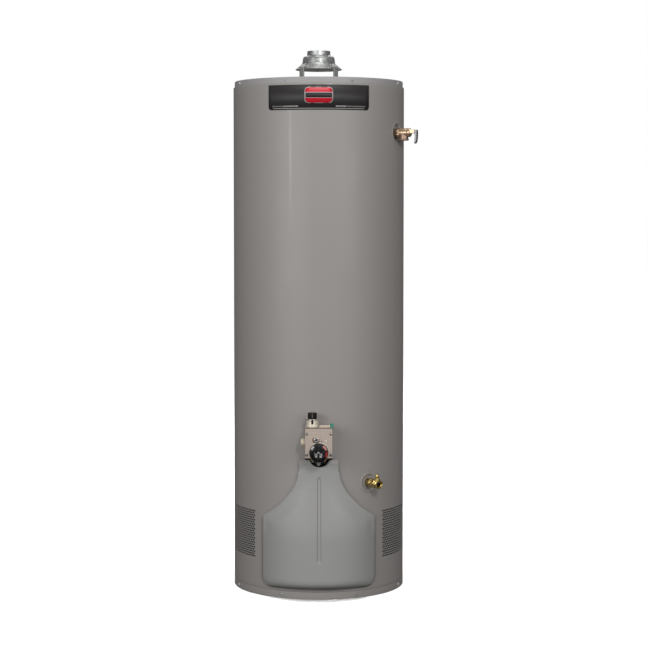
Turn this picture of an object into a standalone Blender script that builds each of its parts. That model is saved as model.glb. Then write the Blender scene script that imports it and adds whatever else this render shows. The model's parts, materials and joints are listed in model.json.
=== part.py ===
"""Tall atmospheric gas water heater: an assembly of separate solids, in metres, +Z up.

The origin is the centre of the base on the floor, and the front faces -Y.
Angles round the heater are measured from the front towards +X.
"""
import math

import bmesh
import bpy
from mathutils import Matrix, Vector
from mathutils.geometry import intersect_point_line

# Driving dimensions
GAP = 0.0003
SHEET = 0.0012
RADIUS = 0.2635
PAN_TOP = 0.0212
JACKET_TOP = 1.5393
LID_RADIUS = 0.2597
LID_TOP = 1.5578
NECK_RADIUS = LID_RADIUS - SHEET - 2 * GAP
TANK_RADIUS = 0.228
TANK_WALL = 0.003
TANK_BOTTOM = 0.262
TANK_TOP = 1.450
FLUE_RADIUS = 0.0508
FLUE_WALL = 0.0025
FLUE_TOP = 1.566
NIPPLE_RADIUS = 0.01335
NIPPLE_BORE = 0.0105
NIPPLE_SPACING = 0.2032
NIPPLE_TOP = 1.5695
ANODE_Y = 0.130
SKIRT_RADIUS = 0.2285
JACKET_STEPS = 48
TANK_STEPS = 32
VENT_FIRST = 46.6
VENT_LAST = 109.0
VENT_BOTTOM = 0.113
VENT_TOP = 0.255
VENT_ROWS = 6
VENT_COLUMNS = 3
VENT_SLOT_HEIGHT = 0.0034
TP_ANGLE = 65.0
TP_HEIGHT = 1.398
DRAIN_ANGLE = 34.7
DRAIN_HEIGHT = 0.346
VALVE_HALF_WIDTH = 0.041
VALVE_BOTTOM = 0.435
VALVE_TOP = 0.524
VALVE_BACK = -0.268
PLATE_BACK = -0.325
PLATE_FRONT = -0.333
SHANK_HEIGHT = 0.482
DIAL_HEIGHT = 0.452
DIAL_RADIUS = 0.0276
COCK_X = -0.019
COCK_Y = -0.300
INLET_HEIGHT = 0.477
HOOD_TOP = 1.6539
HOOD_LIP_RADIUS = 0.0724
HOOD_LIP = 1.5963
DRUM_RADIUS = 0.0508
DRUM_BOTTOM = 1.615
COLLAR_RADIUS = 0.0353
COVER_TOP = 0.421
COVER_BOTTOM = 0.033
COVER_HALF_ARC = 0.1795
COVER_CORNER = 0.034
COVER_STAND_OFF = 0.0008
COVER_ROLL = ((0.003, 0.0032), (0.006, 0.0014))
COVER_SLICES = (0.052, 0.068, 0.090, 0.120, 0.155, 0.190, 0.225, 0.260, 0.300, 0.335, 0.370)
NOTCH_X = 0.002
NOTCH_HEIGHT = 0.4296
NOTCH_RADIUS = 0.030
COVER_CROWN = 0.032
CROWN_REACH = 0.165
FOOT_REACH = 0.022
SHOULDER_REACH = 0.050
CROWN_START = 0.380
CROWN_FULL = 0.180

# Looks: base colour, roughness, metallic
LOOKS = {
    "jacket_paint": ((0.30, 0.285, 0.275), 0.38, 0.0),
    "cover_paint": ((0.27, 0.27, 0.265), 0.55, 0.0),
    "lid_paint": ((0.30, 0.295, 0.295), 0.6, 0.0),
    "galvanised": ((0.45, 0.46, 0.45), 0.45, 0.9),
    "tank_steel": ((0.20, 0.21, 0.23), 0.5, 0.8),
    "bright_steel": ((0.60, 0.60, 0.58), 0.3, 1.0),
    "cast_aluminium": ((0.62, 0.58, 0.52), 0.4, 0.9),
    "tube_aluminium": ((0.70, 0.70, 0.70), 0.35, 1.0),
    "copper": ((0.72, 0.38, 0.22), 0.35, 1.0),
    "brass": ((0.66, 0.48, 0.22), 0.35, 1.0),
    "black_plastic": ((0.015, 0.015, 0.016), 0.35, 0.0),
    "blue_plastic": ((0.03, 0.12, 0.50), 0.4, 0.0),
    "red_plastic": ((0.55, 0.03, 0.04), 0.4, 0.0),
    "white_plastic": ((0.75, 0.75, 0.72), 0.45, 0.0),
    "foam": ((0.72, 0.62, 0.38), 0.9, 0.0),
    "gasket": ((0.60, 0.58, 0.52), 0.95, 0.0),
    "glass": ((0.80, 0.85, 0.82), 0.05, 0.0),
    "badge": ((0.02, 0.018, 0.018), 0.3, 0.0),
}


def material(look):
    found = bpy.data.materials.get(look)
    if found:
        return found
    made = bpy.data.materials.new(look)
    made.use_nodes = True
    shader = made.node_tree.nodes["Principled BSDF"]
    colour, roughness, metallic = LOOKS[look]
    shader.inputs["Base Color"].default_value = (*colour, 1.0)
    shader.inputs["Roughness"].default_value = roughness
    shader.inputs["Metallic"].default_value = metallic
    made.diffuse_color = (*colour, 1.0)
    return made


def add(name, bm, look, place=None):
    """Turn a bmesh into a named object, shaded smooth up to 35 degrees."""
    bmesh.ops.recalc_face_normals(bm, faces=bm.faces)
    mesh = bpy.data.meshes.new(name)
    bm.to_mesh(mesh)
    bm.free()
    mesh.shade_smooth()
    mesh.set_sharp_from_angle(angle=math.radians(35))
    obj = bpy.data.objects.new(name, mesh)
    bpy.context.scene.collection.objects.link(obj)
    obj.matrix_world = place or Matrix()
    if look:
        mesh.materials.append(material(look))
    else:
        obj.hide_render = True
        obj.display_type = "WIRE"
    return obj


def at(x=0.0, y=0.0, z=0.0):
    return Matrix.Translation((x, y, z))


def radial(angle, height, distance=0.0):
    """A frame whose +Z points out of the jacket at this angle and whose +X points up."""
    turn = math.radians(angle)
    out = Vector((math.sin(turn), -math.cos(turn), 0))
    up = Vector((0, 0, 1))
    side = out.cross(up)
    frame = Matrix((up, side, out)).transposed().to_4x4()
    return Matrix.Translation(out * distance + up * height) @ frame


def lathe_mesh(profile, steps, closed):
    """Spin a profile of (radius, height) points about Z."""
    bm = bmesh.new()
    verts = [bm.verts.new((r, 0, z)) for r, z in profile]
    edges = [bm.edges.new(pair) for pair in zip(verts, verts[1:])]
    if closed:
        edges.append(bm.edges.new((verts[-1], verts[0])))
    bmesh.ops.spin(bm, geom=verts + edges, cent=(0, 0, 0), axis=(0, 0, 1), angle=math.tau,
                   steps=steps, use_merge=True)
    bmesh.ops.remove_doubles(bm, verts=bm.verts, dist=1e-6)
    return bm


def ring(name, profile, look, steps=JACKET_STEPS, place=None):
    """A turned piece with a hole through it: the profile is a closed loop."""
    return add(name, lathe_mesh(profile, steps, True), look, place)


def solid(name, profile, look, steps=32, place=None):
    """A turned piece without a hole: the profile starts and ends on the axis."""
    return add(name, lathe_mesh(profile, steps, False), look, place)


def tube_profile(outer, inner, low, high):
    return [(outer, low), (outer, high), (inner, high), (inner, low)]


def rod_profile(radius, low, high):
    return [(0, high), (radius, high), (radius, low), (0, low)]


def prism(name, outline, look, low, high, place=None):
    """Extrude a flat outline of (x, y) points along its Z."""
    bm = bmesh.new()
    face = bm.faces.new([bm.verts.new((x, y, low)) for x, y in outline])
    made = bmesh.ops.extrude_face_region(bm, geom=[face])["geom"]
    top = [item for item in made if isinstance(item, bmesh.types.BMVert)]
    bmesh.ops.translate(bm, verts=top, vec=(0, 0, high - low))
    return add(name, bm, look, place)


def polygon(sides, radius, start=0.0):
    turns = [start + math.tau * i / sides for i in range(sides)]
    return [(radius * math.cos(t), radius * math.sin(t)) for t in turns]


def box_outline(low_x, low_y, high_x, high_y):
    return [(low_x, low_y), (high_x, low_y), (high_x, high_y), (low_x, high_y)]


def rods(name, places, steps=16):
    """Several cylinders in one cutter, each given as (frame, radius, low, high)."""
    bm = bmesh.new()
    for place, radius, low, high in places:
        lift = place @ Matrix.Translation((0, 0, (low + high) / 2))
        bmesh.ops.create_cone(bm, cap_ends=True, segments=steps, radius1=radius,
                              radius2=radius, depth=high - low, matrix=lift)
    return add(name, bm, None)


def cut(obj, cutter, operation="DIFFERENCE"):
    modifier = obj.modifiers.new(cutter.name, "BOOLEAN")
    modifier.operation = operation
    modifier.object = cutter
    modifier.solver = "EXACT"


def join(obj, other):
    """Weld a second shape, which is left hidden, into a piece."""
    other.hide_render = True
    other.display_type = "WIRE"
    cut(obj, other, "UNION")


def bevel(obj, width, segments=1):
    modifier = obj.modifiers.new("edges", "BEVEL")
    modifier.width = width
    modifier.segments = segments
    modifier.limit_method = "ANGLE"
    modifier.angle_limit = math.radians(40)


def smooth_route(corners, pieces):
    """Points along a Catmull-Rom curve through the route's own points."""
    points = [Vector(c) for c in corners]
    padded = [2 * points[0] - points[1], *points, 2 * points[-1] - points[-2]]
    route = []
    for a, b, c, d in zip(padded, padded[1:], padded[2:], padded[3:]):
        for step in range(pieces):
            t = step / pieces
            blend = (2 * b + (c - a) * t + (2 * a - 5 * b + 4 * c - d) * t ** 2
                     + (3 * b - a - 3 * c + d) * t ** 3)
            route.append(blend / 2)
    return [*route, points[-1]]


def pipe(name, corners, radius, look, pieces=2, sides=1):
    curve = bpy.data.curves.new(name, "CURVE")
    curve.dimensions = "3D"
    curve.bevel_depth = radius
    curve.bevel_resolution = sides
    curve.use_fill_caps = True
    route = smooth_route(corners, pieces)
    spline = curve.splines.new("POLY")
    spline.points.add(len(route) - 1)
    for point, place in zip(spline.points, route):
        point.co = (*place, 1)
    curve.materials.append(material(look))
    obj = bpy.data.objects.new(name, curve)
    bpy.context.scene.collection.objects.link(obj)
    return obj


def wrap(bm, radius):
    """Bend a flat sheet, drawn at y = -height, round the heater."""
    for vert in bm.verts:
        turn = vert.co.x / RADIUS
        reach = radius - vert.co.y
        vert.co.x = reach * math.sin(turn)
        vert.co.y = -reach * math.cos(turn)


def slice_sheet(bm, place, across):
    """Cut a flat sheet along one line, which keeps both sides."""
    bmesh.ops.bisect_plane(bm, geom=[*bm.verts, *bm.edges, *bm.faces], dist=1e-6,
                           plane_co=place, plane_no=across)


def slice_upright(bm, first, last, spacing):
    """Cut a flat sheet into upright strips, so that it can bend."""
    for index in range(math.ceil(first / spacing), math.floor(last / spacing) + 1):
        slice_sheet(bm, (index * spacing, 0, 0), (1, 0, 0))


def curved_plate(name, radius, thickness, half_arc, low, high, look, centre=0.0, steps=12):
    """A rectangle of sheet bent round the heater, its inner face at this radius."""
    bm = bmesh.new()
    columns = [centre + half_arc * (2 * i / steps - 1) for i in range(steps + 1)]
    rows = [[bm.verts.new((radius * math.sin(a), -radius * math.cos(a), z)) for a in columns]
            for z in (low, high)]
    for i in range(steps):
        bm.faces.new((rows[0][i], rows[0][i + 1], rows[1][i + 1], rows[1][i]))
    obj = add(name, bm, look)
    thicken(obj, thickness, 1)
    return obj


def thicken(obj, thickness, side):
    modifier = obj.modifiers.new("sheet", "SOLIDIFY")
    modifier.thickness = thickness
    modifier.offset = side
    modifier.use_even_offset = True


# Outer sheet metal

def build_jacket():
    foot = 0.004
    collar = JACKET_TOP + 0.0137
    inset = RADIUS - SHEET - 2 * GAP
    outside = [(inset, foot), (inset, PAN_TOP), (RADIUS, PAN_TOP + GAP), (RADIUS, JACKET_TOP),
               (NECK_RADIUS, JACKET_TOP), (NECK_RADIUS, collar)]
    inside = [(NECK_RADIUS - SHEET, collar), (NECK_RADIUS - SHEET, JACKET_TOP - SHEET),
              (RADIUS - SHEET, JACKET_TOP - SHEET), (RADIUS - SHEET, PAN_TOP + SHEET),
              (inset - SHEET, PAN_TOP + SHEET), (inset - SHEET, foot)]
    jacket = ring("jacket", outside + inside, "jacket_paint")
    cut(jacket, vent_cutter())
    cut(jacket, access_cutter("jacket_access", 0.118, 0.080, 0.232, 0.046, 0.428))
    cut(jacket, rods("jacket_holes", [
        (radial(TP_ANGLE, TP_HEIGHT), 0.0285, 0.24, 0.29),
        (radial(DRAIN_ANGLE, DRAIN_HEIGHT), 0.0250, 0.24, 0.29),
        (radial(0, SHANK_HEIGHT), 0.0200, 0.24, 0.29),
    ]))
    return jacket


def vent_cutter():
    """Rows of slots on both sides of the jacket, staggered from row to row."""
    bm = bmesh.new()
    column = (VENT_LAST - VENT_FIRST) / VENT_COLUMNS
    pitch = (VENT_TOP - VENT_BOTTOM) / VENT_ROWS
    width = math.radians(column * 0.74) * RADIUS
    for side in (-1, 1):
        for row in range(VENT_ROWS):
            height = VENT_BOTTOM + pitch * (row + 0.5)
            stagger = column * (0.06 if row % 2 else -0.06)
            for index in range(VENT_COLUMNS):
                angle = side * (VENT_FIRST + column * (index + 0.5) + stagger)
                place = radial(angle, height, RADIUS)
                size = Matrix.Diagonal((VENT_SLOT_HEIGHT, width, 0.030, 1))
                bmesh.ops.create_cube(bm, size=1, matrix=place @ size)
    return add("vent_slots", bm, None)


def access_cutter(name, half_width, low, shoulder, neck, high):
    """A window low on the front that narrows to a neck under the gas control."""
    outline = [(-half_width, low), (half_width, low), (half_width, shoulder), (neck, shoulder + 0.07),
               (neck, high), (-neck, high), (-neck, shoulder + 0.07), (-half_width, shoulder)]
    upright = Matrix.Rotation(math.pi / 2, 4, "X")
    return prism(name, outline, None, 0.2, 0.3, upright)


def build_pans():
    ring_floor = 0.0015
    ring_in = RADIUS - SHEET
    solid("bottom_pan", [(0, ring_floor), (ring_in, ring_floor), (ring_in, PAN_TOP), (RADIUS, PAN_TOP),
                         (RADIUS, 0.002), (RADIUS - 0.002, 0), (0, 0)], "jacket_paint", steps=JACKET_STEPS)
    low = JACKET_TOP + GAP
    lid = solid("top_pan", [(0, LID_TOP), (LID_RADIUS - 0.002, LID_TOP), (LID_RADIUS, LID_TOP - 0.002),
                            (LID_RADIUS, low), (LID_RADIUS - SHEET, low),
                            (LID_RADIUS - SHEET, LID_TOP - SHEET), (0, LID_TOP - SHEET)],
                "lid_paint", steps=JACKET_STEPS)
    half = NIPPLE_SPACING / 2
    cut(lid, rods("lid_holes", [
        (at(), FLUE_RADIUS + 0.002, 1.50, 1.60),
        (at(half), 0.0155, 1.50, 1.60),
        (at(-half), 0.0155, 1.50, 1.60),
        (at(0, ANODE_Y), 0.0200, 1.50, 1.60),
    ], steps=16))


def cover_outline():
    """The cover's right half, then its mirror image: neck, flared shoulder and round corner."""
    rim = COVER_TOP - NOTCH_HEIGHT
    start = math.atan2(rim, math.sqrt(NOTCH_RADIUS ** 2 - rim ** 2))
    sweep = -math.pi - 2 * start
    notch = []
    for i in range(13):
        turn = start + sweep * i / 12
        notch.append((NOTCH_X + NOTCH_RADIUS * math.cos(turn),
                      NOTCH_HEIGHT + NOTCH_RADIUS * math.sin(turn)))
    neck = [(0.0545, COVER_TOP), (0.0575, COVER_TOP - 0.004)]
    flare = [(0.060, 0.386), (0.062, 0.340), (0.105, 0.285), (0.1645, 0.2535)]
    side = []
    for i in range(9):
        t = i / 8
        weights = ((1 - t) ** 3, 3 * t * (1 - t) ** 2, 3 * t * t * (1 - t), t ** 3)
        side.append(tuple(sum(w * p[k] for w, p in zip(weights, flare)) for k in (0, 1)))
    side += [(COVER_HALF_ARC - 0.0055, 0.2475), (COVER_HALF_ARC - 0.0014, 0.2390),
             (COVER_HALF_ARC, 0.2270)]
    centre = (COVER_HALF_ARC - COVER_CORNER, COVER_BOTTOM + COVER_CORNER)
    for i in range(6):
        turn = -math.pi / 2 * i / 5
        side.append((centre[0] + COVER_CORNER * math.cos(turn),
                     centre[1] + COVER_CORNER * math.sin(turn)))
    right = neck + side
    left = [(-x, z) for x, z in reversed(right)]
    return right + left + notch[::-1]


def flare_distance(point, outline):
    """How far a point of the flat cover is from the flared sides of its neck."""
    nearest = SHOULDER_REACH
    for start, end in zip(outline, outline[1:] + outline[:1]):
        if start.z > CROWN_FULL and abs(end.x - start.x) > GAP:
            share = intersect_point_line(point, start, end)[1]
            foot = start.lerp(end, min(max(share, 0), 1))
            nearest = min(nearest, (point - foot).length)
    return nearest


def bow(distance, reach):
    """Rises from 0 at an edge to 1 at this reach, where it levels out."""
    return 1 - (1 - min(max(distance / reach, 0), 1)) ** 2


def eased(share):
    held = min(max(share, 0), 1)
    return held * held * (3 - 2 * held)


def foot_height(x):
    """Where the cover's lower edge, with its round corners, is on one upright line."""
    into_corner = max(abs(x) - COVER_HALF_ARC + COVER_CORNER, 0)
    return COVER_BOTTOM + COVER_CORNER - math.sqrt(max(COVER_CORNER ** 2 - into_corner ** 2, 0))


def crown(point, outline):
    """The cover bows outwards between its sides, and the bow dies out at the foot and up the neck."""
    across = bow(COVER_HALF_ARC - abs(point.x), CROWN_REACH)
    upwards = bow(point.z - foot_height(point.x), FOOT_REACH)
    fade = eased((CROWN_START - point.z) / (CROWN_START - CROWN_FULL))
    return COVER_CROWN * across * upwards * fade * eased(flare_distance(point, outline) / SHOULDER_REACH)


def build_cover():
    """A pressed sheet with a rolled edge, which stands a little off the jacket."""
    outline = [Vector((x, 0, z)) for x, z in cover_outline()]
    bm = bmesh.new()
    bm.faces.new([bm.verts.new(point) for point in outline])
    bmesh.ops.recalc_face_normals(bm, faces=bm.faces)
    for inset, rise in COVER_ROLL:
        middle = max(bm.faces, key=lambda face: len(face.verts))
        bmesh.ops.inset_region(bm, faces=[middle], thickness=inset, use_even_offset=True)
        for vert in middle.verts:
            vert.co.y -= rise
    slice_upright(bm, -COVER_HALF_ARC, COVER_HALF_ARC, 0.024)
    for height in COVER_SLICES:
        slice_sheet(bm, (0, 0, height), (0, 0, 1))
    for vert in bm.verts:
        flat = Vector((vert.co.x, 0, vert.co.z))
        vert.co.y -= crown(flat, outline)
    wrap(bm, RADIUS + COVER_STAND_OFF + SHEET)
    cover = add("outer_cover", bm, "cover_paint")
    thicken(cover, SHEET, -1)


# Tank and flue

def arch(inner, outer, low, high, steps):
    """Points of a quarter ellipse from a flange at the outside up to the crown."""
    points = []
    for i in range(steps + 1):
        turn = math.pi / 2 * i / steps
        points.append((inner + (outer - inner) * math.cos(turn), low + (high - low) * math.sin(turn)))
    return points


def build_head(name, flange, rim, crown, hole):
    edge = TANK_RADIUS - TANK_WALL - GAP
    outer = [(edge, flange), *arch(hole, edge, rim, crown, 3)]
    inner = [*reversed(arch(hole, edge - TANK_WALL, rim, crown - TANK_WALL, 3)),
             (edge - TANK_WALL, flange)]
    return ring(name, outer + inner, "tank_steel", steps=TANK_STEPS)


def build_tank():
    shell = ring("tank_shell", tube_profile(TANK_RADIUS, TANK_RADIUS - TANK_WALL, TANK_BOTTOM, TANK_TOP),
                 "tank_steel", steps=TANK_STEPS)
    cut(shell, rods("shell_holes", [
        (radial(TP_ANGLE, TP_HEIGHT), 0.0124, 0.20, 0.24),
        (radial(DRAIN_ANGLE, DRAIN_HEIGHT), 0.0124, 0.20, 0.24),
        (radial(0, SHANK_HEIGHT), 0.0124, 0.20, 0.24),
    ]))
    hole = FLUE_RADIUS + GAP
    top = build_head("tank_top_head", TANK_TOP - 0.022, TANK_TOP - 0.002, 1.494, hole)
    half = NIPPLE_SPACING / 2
    cut(top, rods("head_holes", [
        (at(half), NIPPLE_RADIUS + GAP, 1.42, 1.52),
        (at(-half), NIPPLE_RADIUS + GAP, 1.42, 1.52),
        (at(0, ANODE_Y), 0.0136, 1.42, 1.52),
    ]))
    build_head("tank_bottom_head", TANK_BOTTOM + 0.0005, TANK_BOTTOM + 0.022, 0.335, hole)
    ring("flue_tube", tube_profile(FLUE_RADIUS, FLUE_RADIUS - FLUE_WALL, 0.318, FLUE_TOP), "tank_steel",
         steps=TANK_STEPS)
    build_baffle()
    build_foam()


def build_baffle():
    """A zigzag strip that hangs in the flue by a cross bar."""
    low, high, swing, half_width = 0.40, 1.552, 0.016, 0.030
    folds = 24
    bm = bmesh.new()
    rows = []
    for i in range(folds + 1):
        y = 0.0 if i in (0, folds) else swing * (1 if i % 2 else -1)
        z = low + (high - low) * i / folds
        rows.append([bm.verts.new((x, y, z)) for x in (-half_width, half_width)])
    for lower, upper in zip(rows, rows[1:]):
        bm.faces.new((lower[0], lower[1], upper[1], upper[0]))
    baffle = add("flue_baffle", bm, "tank_steel")
    thicken(baffle, 0.0015, 0)
    hanger = FLUE_RADIUS - 0.006
    lift = at(0, 0, high + 0.0005)
    bar = prism("baffle_hanger", box_outline(-hanger, -0.004, hanger, 0.004), None, -0.003, 0.003, lift)
    join(baffle, bar)


def build_foam():
    inner = TANK_RADIUS + 0.0008
    outer = RADIUS - SHEET - 0.0008
    top = JACKET_TOP - 0.006
    crown = arch(FLUE_RADIUS + 0.002, inner, TANK_TOP + 0.002, 1.500, 4)
    profile = [(outer, TANK_BOTTOM), (outer, top), (FLUE_RADIUS + 0.002, top),
               *reversed(crown), (inner, TANK_BOTTOM)]
    foam = ring("foam_insulation", profile, "foam", steps=TANK_STEPS)
    half = NIPPLE_SPACING / 2
    cut(foam, access_cutter("foam_access", 0.120, 0.080, 0.200, 0.052, 0.434))
    cut(foam, rods("foam_holes", [
        (radial(TP_ANGLE, TP_HEIGHT), 0.0295, 0.20, 0.29),
        (radial(DRAIN_ANGLE, DRAIN_HEIGHT), 0.0260, 0.20, 0.29),
        (radial(0, SHANK_HEIGHT), 0.0220, 0.20, 0.29),
        (at(half), NIPPLE_RADIUS + 0.002, 1.46, 1.56),
        (at(-half), NIPPLE_RADIUS + 0.002, 1.46, 1.56),
        (at(0, ANODE_Y), 0.0200, 1.44, 1.56),
    ]))


# Water side

def build_water_side():
    half = NIPPLE_SPACING / 2
    for name, x, look in (("cold", half, "blue_plastic"), ("hot", -half, "red_plastic")):
        ring(name + "_nipple", tube_profile(NIPPLE_RADIUS, NIPPLE_BORE, 1.462, NIPPLE_TOP), "bright_steel",
             steps=20, place=at(x))
        low = LID_TOP + GAP
        ring(name + "_marker_ring", [(0.024, low), (0.024, low + 0.002), (0.020, low + 0.004),
                                     (0.0145, low + 0.004), (0.0145, low)], look, steps=20, place=at(x))
    ring("dip_tube", tube_profile(0.0095, 0.0078, 0.42, 1.564), "white_plastic", steps=16, place=at(half))
    anode = solid("anode_rod", [(0, 1.5660), (0.0125, 1.5660), (0.0135, 1.5640), (0.0135, 1.5400),
                                (0.0130, 1.5390), (0.0130, 1.4700), (0.0105, 1.4680), (0.0105, 0.600),
                                (0.0085, 0.597), (0, 0.597)], "tube_aluminium", steps=16,
                  place=at(0, ANODE_Y))
    head = prism("anode_hex", polygon(6, 0.0178), None, 1.5500, 1.5655, at(0, ANODE_Y))
    join(anode, head)


def recess_cup(name, angle, height, rim, cup, shank):
    """A pressed cup sunk in the jacket round a valve, its rim lying on the jacket."""
    low, high = RADIUS + GAP, RADIUS + GAP + 0.0010
    floor = RADIUS - 0.018
    wall = 0.0012
    profile = [(rim, low), (rim - 0.001, high), (cup - wall, high), (cup - wall, floor),
               (shank, floor), (shank, floor - wall), (cup, floor - wall), (cup, low)]
    ring(name, profile, "jacket_paint", steps=24, place=radial(angle, height))


def build_relief_valve():
    place = radial(TP_ANGLE, TP_HEIGHT)
    body = ring("tp_valve_body", [(0.0121, 0.222), (0.0121, 0.262), (0.0137, 0.2635), (0.0137, 0.3060),
                                  (0.0120, 0.3078), (0.0038, 0.3078), (0.0038, 0.2960), (0.0060, 0.2950),
                                  (0.0060, 0.222)], "brass", steps=16, place=place)
    hexagon = prism("tp_hex", polygon(6, 0.0172), None, 0.2640, 0.2735, place)
    join(body, hexagon)
    outlet_distance = RADIUS + 0.022
    outlet = radial(TP_ANGLE, 0, outlet_distance).to_translation()
    drop = ring("tp_outlet", tube_profile(0.0150, 0.0105, 1.3740, TP_HEIGHT - 0.0065), None, steps=20,
                place=at(outlet.x, outlet.y))
    join(body, drop)
    for side in (-1, 1):
        ear = prism("tp_ear_%d" % side, [(-0.001, 0.304), (-0.001, 0.3215), (0.0075, 0.3225),
                                         (0.0095, 0.3180), (0.0095, 0.304)], None, 0.0078, 0.0094,
                    place @ on_edge(side))
        join(body, ear)
    cut(body, rods("tp_bore", [(place, 0.0060, 0.200, 0.2955)]))
    solid("tp_probe", rod_profile(0.0045, 0.150, 0.2940), "brass", steps=12, place=place)
    solid("tp_stem", [(0, 0.3110), (0.0035, 0.3110), (0.0040, 0.3105), (0.0040, 0.3085), (0.0032, 0.3083),
                      (0.0032, 0.2965), (0, 0.2965)], "bright_steel", steps=16, place=place)
    recess_cup("tp_recess_cup", TP_ANGLE, TP_HEIGHT, 0.0345, 0.0280, 0.0125)
    build_relief_lever()


def on_edge(side):
    """Stand an outline drawn in (up, out) on edge, on one side of the valve."""
    return Matrix(((1, 0, 0), (0, 0, side), (0, 1, 0))).to_4x4()


def build_relief_lever():
    """A bent steel channel: cheeks round the pivot pin and a blade that hangs down to a round tip."""
    pivot = radial(TP_ANGLE, TP_HEIGHT + 0.0050, 0.3180) @ on_edge(1)
    blade = [(0.0032, 0.0095), (0.0015, 0.0115), (-0.012, 0.0115), (-0.026, 0.0105), (-0.036, 0.0080)]
    tip = [(-0.0385, 0.0062), (-0.0390, 0.0045), (-0.0380, 0.0030)]
    cheek = [(-0.026, 0.0045), (-0.012, 0.0052), (-0.0045, 0.0040), (-0.0032, 0.0),
             (-0.0020, -0.0026), (0.0020, -0.0026), (0.0032, 0.0)]
    lever = prism("tp_lever", blade + tip + cheek, "bright_steel", -0.0072, 0.0072, pivot)
    hollow = [(0.0018, -0.006), (0.0018, 0.0088), (0.0008, 0.0100), (-0.012, 0.0100), (-0.026, 0.0090),
              (-0.0350, 0.0068), (-0.0365, 0.0050), (-0.0365, -0.006)]
    cut(lever, prism("lever_hollow", hollow, None, -0.0058, 0.0058, pivot))
    join(lever, prism("lever_pin", polygon(10, 0.0013), None, -0.0070, 0.0070, pivot))


def build_drain_valve():
    place = radial(DRAIN_ANGLE, DRAIN_HEIGHT)
    body = ring("drain_valve_body", [(0.0121, 0.222), (0.0121, 0.270), (0.0115, 0.2705), (0.0115, 0.2950),
                                     (0.0135, 0.2965), (0.0135, 0.3165), (0.0100, 0.3165),
                                     (0.0100, 0.3135), (0.0078, 0.3120), (0.0078, 0.2960),
                                     (0.0050, 0.2940), (0.0050, 0.222)], "brass", steps=16, place=place)
    hexagon = prism("drain_hex", polygon(6, 0.0165), None, 0.2650, 0.2750, place)
    join(body, hexagon)
    centre = radial(DRAIN_ANGLE, 0, 0.3045).to_translation()
    boss = ring("drain_boss", tube_profile(0.0075, 0.0036, DRAIN_HEIGHT + 0.009, DRAIN_HEIGHT + 0.0175),
                None, steps=20, place=at(centre.x, centre.y))
    join(body, boss)
    above = at(centre.x, centre.y, DRAIN_HEIGHT)
    cut(body, rods("drain_bores", [(above, 0.0036, 0.004, 0.020), (place, 0.0050, 0.200, 0.2960)]))
    stem = solid("drain_valve_stem", [(0, 0.0300), (0.0030, 0.0295), (0.0052, 0.0275), (0.0062, 0.0240),
                                      (0.0062, 0.0180), (0.0033, 0.0180), (0.0033, 0.0078),
                                      (0, 0.0078)], "brass", steps=20, place=above)
    slot = prism("stem_slot", box_outline(-0.0008, -0.010, 0.0008, 0.010), None, 0.0270, 0.0320, above)
    cut(stem, slot)
    half_bore = 0.0042
    ball = [(half_bore, -0.0056), *[(0.0070 * math.cos(t), 0.0070 * math.sin(t)) for t in
                                    [math.radians(a) for a in (-40, -20, 0, 20, 40)]],
            (half_bore, 0.0056)]
    along = radial(DRAIN_ANGLE, DRAIN_HEIGHT, 0.3045)
    ring("drain_ball", ball, "bright_steel", steps=20, place=along)
    recess_cup("drain_recess_cup", DRAIN_ANGLE, DRAIN_HEIGHT, 0.0300, 0.0245, 0.0125)


# Gas control

def face_holes():
    """Holes for the dial's shaft and the four face screws, through plate and body."""
    face = Matrix.Rotation(math.pi / 2, 4, "X")
    places = [(at(0, 0, DIAL_HEIGHT) @ face, 0.0043, 0.3120, 0.3400)]
    places += [(at(x, 0, z) @ face, 0.0021, 0.3140, 0.3400) for x, z in screw_places()]
    places.append((at(-0.007, 0, 0.489) @ face, 0.0043, 0.3140, 0.3400))
    return rods("face_holes", places, steps=16)


def screw_places():
    return [(x, z) for z in (0.4445, 0.5066) for x in (-0.0355, 0.0355)]


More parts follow.
